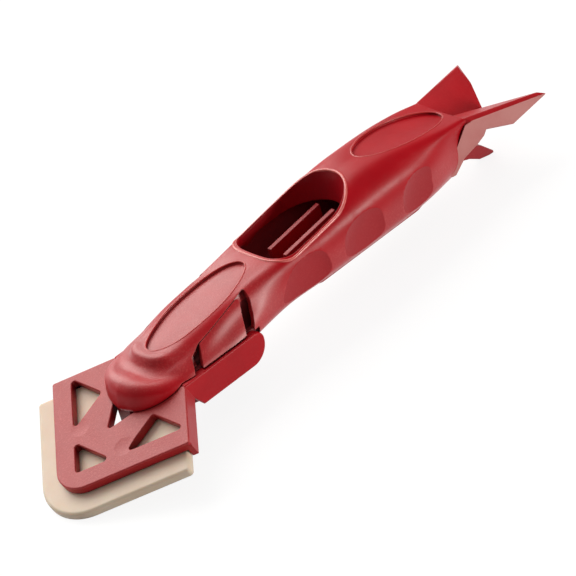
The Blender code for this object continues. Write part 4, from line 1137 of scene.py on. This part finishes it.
def makeBlade():
    # a lip outside the plate's two edges, stepped in at their ends, inside the flanges behind, and notched
    p, s, q = blade, inside, head
    corner, arm, run, side = rearRun(q)
    start = corner + side * (q["flangeThickness"] + s["gap"])
    edge, out = Vector((1, 1)).normalized(), Vector((-1, 1)).normalized()
    endIn = corner - edge * p["endInset"]
    endOut = endIn + out * p["lip"]
    rear = arm.x - p["rearMargin"]
    rearOut = start + run * ((rear - start.x) / run.x)
    half = [(p["notchTip"], 0), p["notchKnee"], (rear, p["notchRear"]), tuple(rearOut),
            tuple(endIn), tuple(endOut), (-p["lip"] * math.sqrt(2), 0)]
    soft = p["softRadius"]
    radii = [*p["notchRadii"], soft, soft, p["stepRadius"], p["cornerRadius"], p["noseRadius"]]
    outline = roundedOutline(half + mirrored(half[-2:0:-1], -1), radii + radii[-2:0:-1], p["arcSteps"])
    top = -q["thickness"] - s["gap"]
    obj = slab("bladeSkin", outline, [(a, top + b) for a, b in p["profile"]], plateAxes)
    low = top - q["bladeThickness"] - p["holeOver"]
    for sign in (1, -1):
        plan = disc(q["pegRadius"] + s["gap"], (q["pegPlace"], sign * q["pegSpread"]))
        cut(obj, block("pegHole", plan, low, top + p["holeOver"], plateAxes))
    return obj


creamLook = {
    "base": (0.93, 0.75, 0.59), "warm": (0.86, 0.65, 0.48), "pale": (0.94, 0.86, 0.75), "edgeReach": 0.6,
    "cloudSize": 9, "speckSize": 0.8, "fineSize": 0.35, "fineDepth": 0.03,
    "through": 0.35, "throughDepth": 0.003, "throughShares": (1.0, 0.6, 0.35),
}


def creamRubber(name, look):
    # a cloudy cream, paler along the edges, with a little light passing through
    shade = Shade(name)
    place = shade.toolPlace()
    edgeNormal, edge = shade.edges(look["edgeReach"])
    cloud = shade.noise(place, look["cloudSize"], 3).between(0.3, 0.7)
    sheenSpecks = shade.noise(place, look["speckSize"], 3, 0.6)
    colour = shade.blend(cloud * 0.5, look["base"], look["warm"])
    colour = shade.blend(edge * 0.7, colour, look["pale"])
    fine = shade.noise(place, look["fineSize"], 3)
    return shade.finish(Base_Color=colour, Roughness=0.42 + sheenSpecks * 0.14,
                        Normal=shade.bump(fine, look["fineDepth"], edgeNormal),
                        Subsurface_Weight=look["through"], Subsurface_Scale=look["throughDepth"],
                        Subsurface_Radius=look["throughShares"])


cream = creamRubber("creamRubber", creamLook)
settle(makeBlade(), "blade", "blade_elastomer", (cream,), "finishing_blade", sharp=40)


# Base: floor of the handle, ribs and hook

base = {
    "front": 104, "rear": 163.4, "half": 10, "taperAt": 148, "rearHalf": 5.6, "bottom": 12.3, "top": 13.1,
    "planRadii": (3, 6, 2, 2, 6, 3), "fillet": 0.35, "topFillet": 0.05,
    "inset": 2.9, "plugRear": 158.6, "plugFoot": 12.7, "plugTop": 15.6, "plugRadius": 3,
    "ribSpread": 3.5, "ribThickness": 1.7, "ribFillet": 0.2,
    "ribs": ((107.8, 14), (122.2, 14), (122.2, 27.4), (100.3, 24.5), (100.3, 20), (107.4, 17)),
    "hookWidth": 3.6, "hookFillet": 0.3, "tableLength": (80, 230), "tableDepth": 20,
    "hook": ((156, 13.6), (172, 12.4), (178.4, 10.1), (182.2, 7.7), (186.2, 6.8), (188.2, 6.7), (188.1, 7.5),
             (184.3, 11.6), (177, 16), (156, 16.4)),
}


def makeBase():
    # the floor plate with a plug that fills the handle's mouth, two ribs, and a hook cut level by the table
    p = base
    half, narrow = p["half"], p["rearHalf"]
    plan = [(p["front"], -half), (p["taperAt"], -half), (p["rear"], -narrow),
            (p["rear"], narrow), (p["taperAt"], half), (p["front"], half)]
    floor = slab("baseSkin", roundedOutline(plan, p["planRadii"]),
                 filleted(p["bottom"], p["top"], p["fillet"], p["topFillet"]))
    half -= p["inset"]
    plan = rectangle(p["front"] + p["inset"], p["plugRear"], -half, half)
    plug = roundedOutline(plan, [p["plugRadius"]] * 4)
    join(floor, block("plug", plug, p["plugFoot"], p["plugTop"]))
    half, fillet = p["ribThickness"] / 2, p["ribFillet"]
    for middle in (p["ribSpread"], -p["ribSpread"]):
        profile = filleted(middle - half, middle + half, fillet, fillet, 3)
        join(floor, slab("rib", p["ribs"], profile, upright=True))
    half, fillet = p["hookWidth"] / 2, p["hookFillet"]
    join(floor, slab("hook", p["hook"], filleted(-half, half, fillet, fillet, 4), upright=True))
    table = block("table", rectangle(*p["tableLength"], -wide["table"], wide["table"]), -p["tableDepth"], 0)
    table.data.transform(rest.inverted())
    cut(floor, table)
    return floor


# edges lighter, partly wear and partly painted highlight; crevices darker, painted shade
baseLook = dict(redLook, base=(0.42, 0.004, 0.012), deep=(0.32, 0.003, 0.009), wearAndHighlight=(0.80, 0.22, 0.20),
                edgeShare=0.7, creviceShade=(0.20, 0.03, 0.035))
baseRed = redPlastic("baseRed", 0.3, baseLook)
settle(makeBase(), "handle", "base_plastic", (baseRed,), "handle_base")
bpy.data.objects.remove(bodyForm)


# Floor, light and camera

studio = {
    "floorHalf": 3.0, "floorGlow": 0.88, "floorTones": ((0.42, 0.42, 0.42), (0.46, 0.46, 0.46)),
    "floorShadow": (0.20, 0.20, 0.20), "mottleScale": 30.0,
    "bright": (0.1, 0.75, 0.65), "mirror": (0.5, 0.95, 0.015, 0.8), "sky": (-0.5, 0.8, 0.06, 0.45),
    "lamps": (
        ("backLamp", (0.17, 1.23, 1.07), 1.5, 25),
        ("frontLamp", (0.66, -1.33, 0.14), 0.24, 11),
    ),
    "lampColour": (1.0, 0.97, 0.92), "aim": (0, 0, 0.015),
}


def rayKinds(shade):
    # 1 for a camera ray, a glossy ray and a transmission ray
    return [shade.node("ShaderNodeLightPath", output=name)
            for name in ("Is Camera Ray", "Is Glossy Ray", "Is Transmission Ray")]


def makeFloor():
    # seen directly or in gloss it glows nearly white and still takes a shadow; to other rays it is plain grey
    shade = Shade("paleFloor")
    direct, glossy, clear = rayKinds(shade)
    seen = direct.maths("MAXIMUM", glossy).maths("MAXIMUM", clear)
    place = shade.node("ShaderNodeTexCoord", output="Object")
    mottle = shade.node("ShaderNodeTexNoise", inputs={
        "Vector": place, "Scale": studio["mottleScale"], "Detail": 3.0})
    tone = shade.blend(mottle.between(0.3, 0.7), *studio["floorTones"])
    plain = shade.node("ShaderNodeBsdfDiffuse", inputs={"Color": tone})
    faint = shade.node("ShaderNodeBsdfDiffuse", inputs={"Color": studio["floorShadow"]})
    glow = shade.node("ShaderNodeEmission", inputs={
        "Color": (1.0, 1.0, 1.0), "Strength": studio["floorGlow"]})
    lit = shade.node("ShaderNodeAddShader", inputs={0: faint, 1: glow})
    mixed = shade.node("ShaderNodeMixShader", inputs={0: seen, 1: plain, 2: lit})
    out = shade.tree.nodes["Material Output"]
    shade.tree.links.new(mixed.socket, out.inputs["Surface"])
    shade.tree.nodes.remove(shade.surface)
    h = studio["floorHalf"]
    mesh = bpy.data.meshes.new("floor")
    mesh.from_pydata([(-h, -h, 0), (h, -h, 0), (h, h, 0), (-h, h, 0)], [], [(0, 1, 2, 3)])
    mesh.materials.append(shade.material)
    addObject("floor", mesh)


def makeWorld():
    # white to the camera; in gloss a bright window high on one side, and for plain light a soft slope to it
    world = bpy.data.worlds.new("studioWhite")
    bpy.context.scene.world = world
    world.use_nodes = True
    tree = world.node_tree
    back = tree.nodes["Background"]
    back.inputs["Color"].default_value = (1, 1, 1, 1)
    shade = Shade("skyMaths", tree)
    direct, glossy, clear = rayKinds(shade)
    way = shade.node("ShaderNodeTexCoord", output="Generated")
    toWindow = shade.dot(way, Vector(studio["bright"]).normalized())
    seen = glossy.maths("MAXIMUM", clear)
    light = seen * toWindow.between(*studio["mirror"]) + (1 - seen) * toWindow.between(*studio["sky"])
    light = direct + (1 - direct) * light
    tree.links.new(light.socket, back.inputs["Strength"])


def makeLamps():
    # each lamp's Z axis points away from what it lights
    for name, place, size, watts in studio["lamps"]:
        lamp = bpy.data.lights.new(name, "AREA")
        lamp.size = size
        lamp.energy = watts
        lamp.color = studio["lampColour"]
        obj = addObject(name, lamp)
        obj.location = place
        obj.rotation_euler = (Vector(place) - Vector(studio["aim"])).to_track_quat("Z", "Y").to_euler()


camera = {
    "lens": 303.25, "sensor": 36, "reach": 20, "place": (-596.7, -1035.6, 785.9),
    "right": (0.7049, -0.6631, -0.2521), "up": (0.5273, 0.2521, 0.8114), "back": (-0.4744, -0.7048, 0.5274),
}


def makeCamera(c):
    # its axes and place are on the tool's own axes
    lens = bpy.data.cameras.new("photoView")
    lens.lens = c["lens"]
    lens.sensor_width = c["sensor"]
    lens.clip_end = c["reach"]
    obj = addObject("photoView", lens)
    axes = Matrix((c["right"], c["up"], c["back"])).transposed().to_4x4()
    axes.translation = Vector(c["place"]) * mm
    obj.matrix_world = rest @ axes
    bpy.context.scene.camera = obj


makeFloor()
makeWorld()
makeLamps()
makeCamera(camera)
bpy.context.scene.view_settings.view_transform = "Standard"
print("floor, light and camera placed")
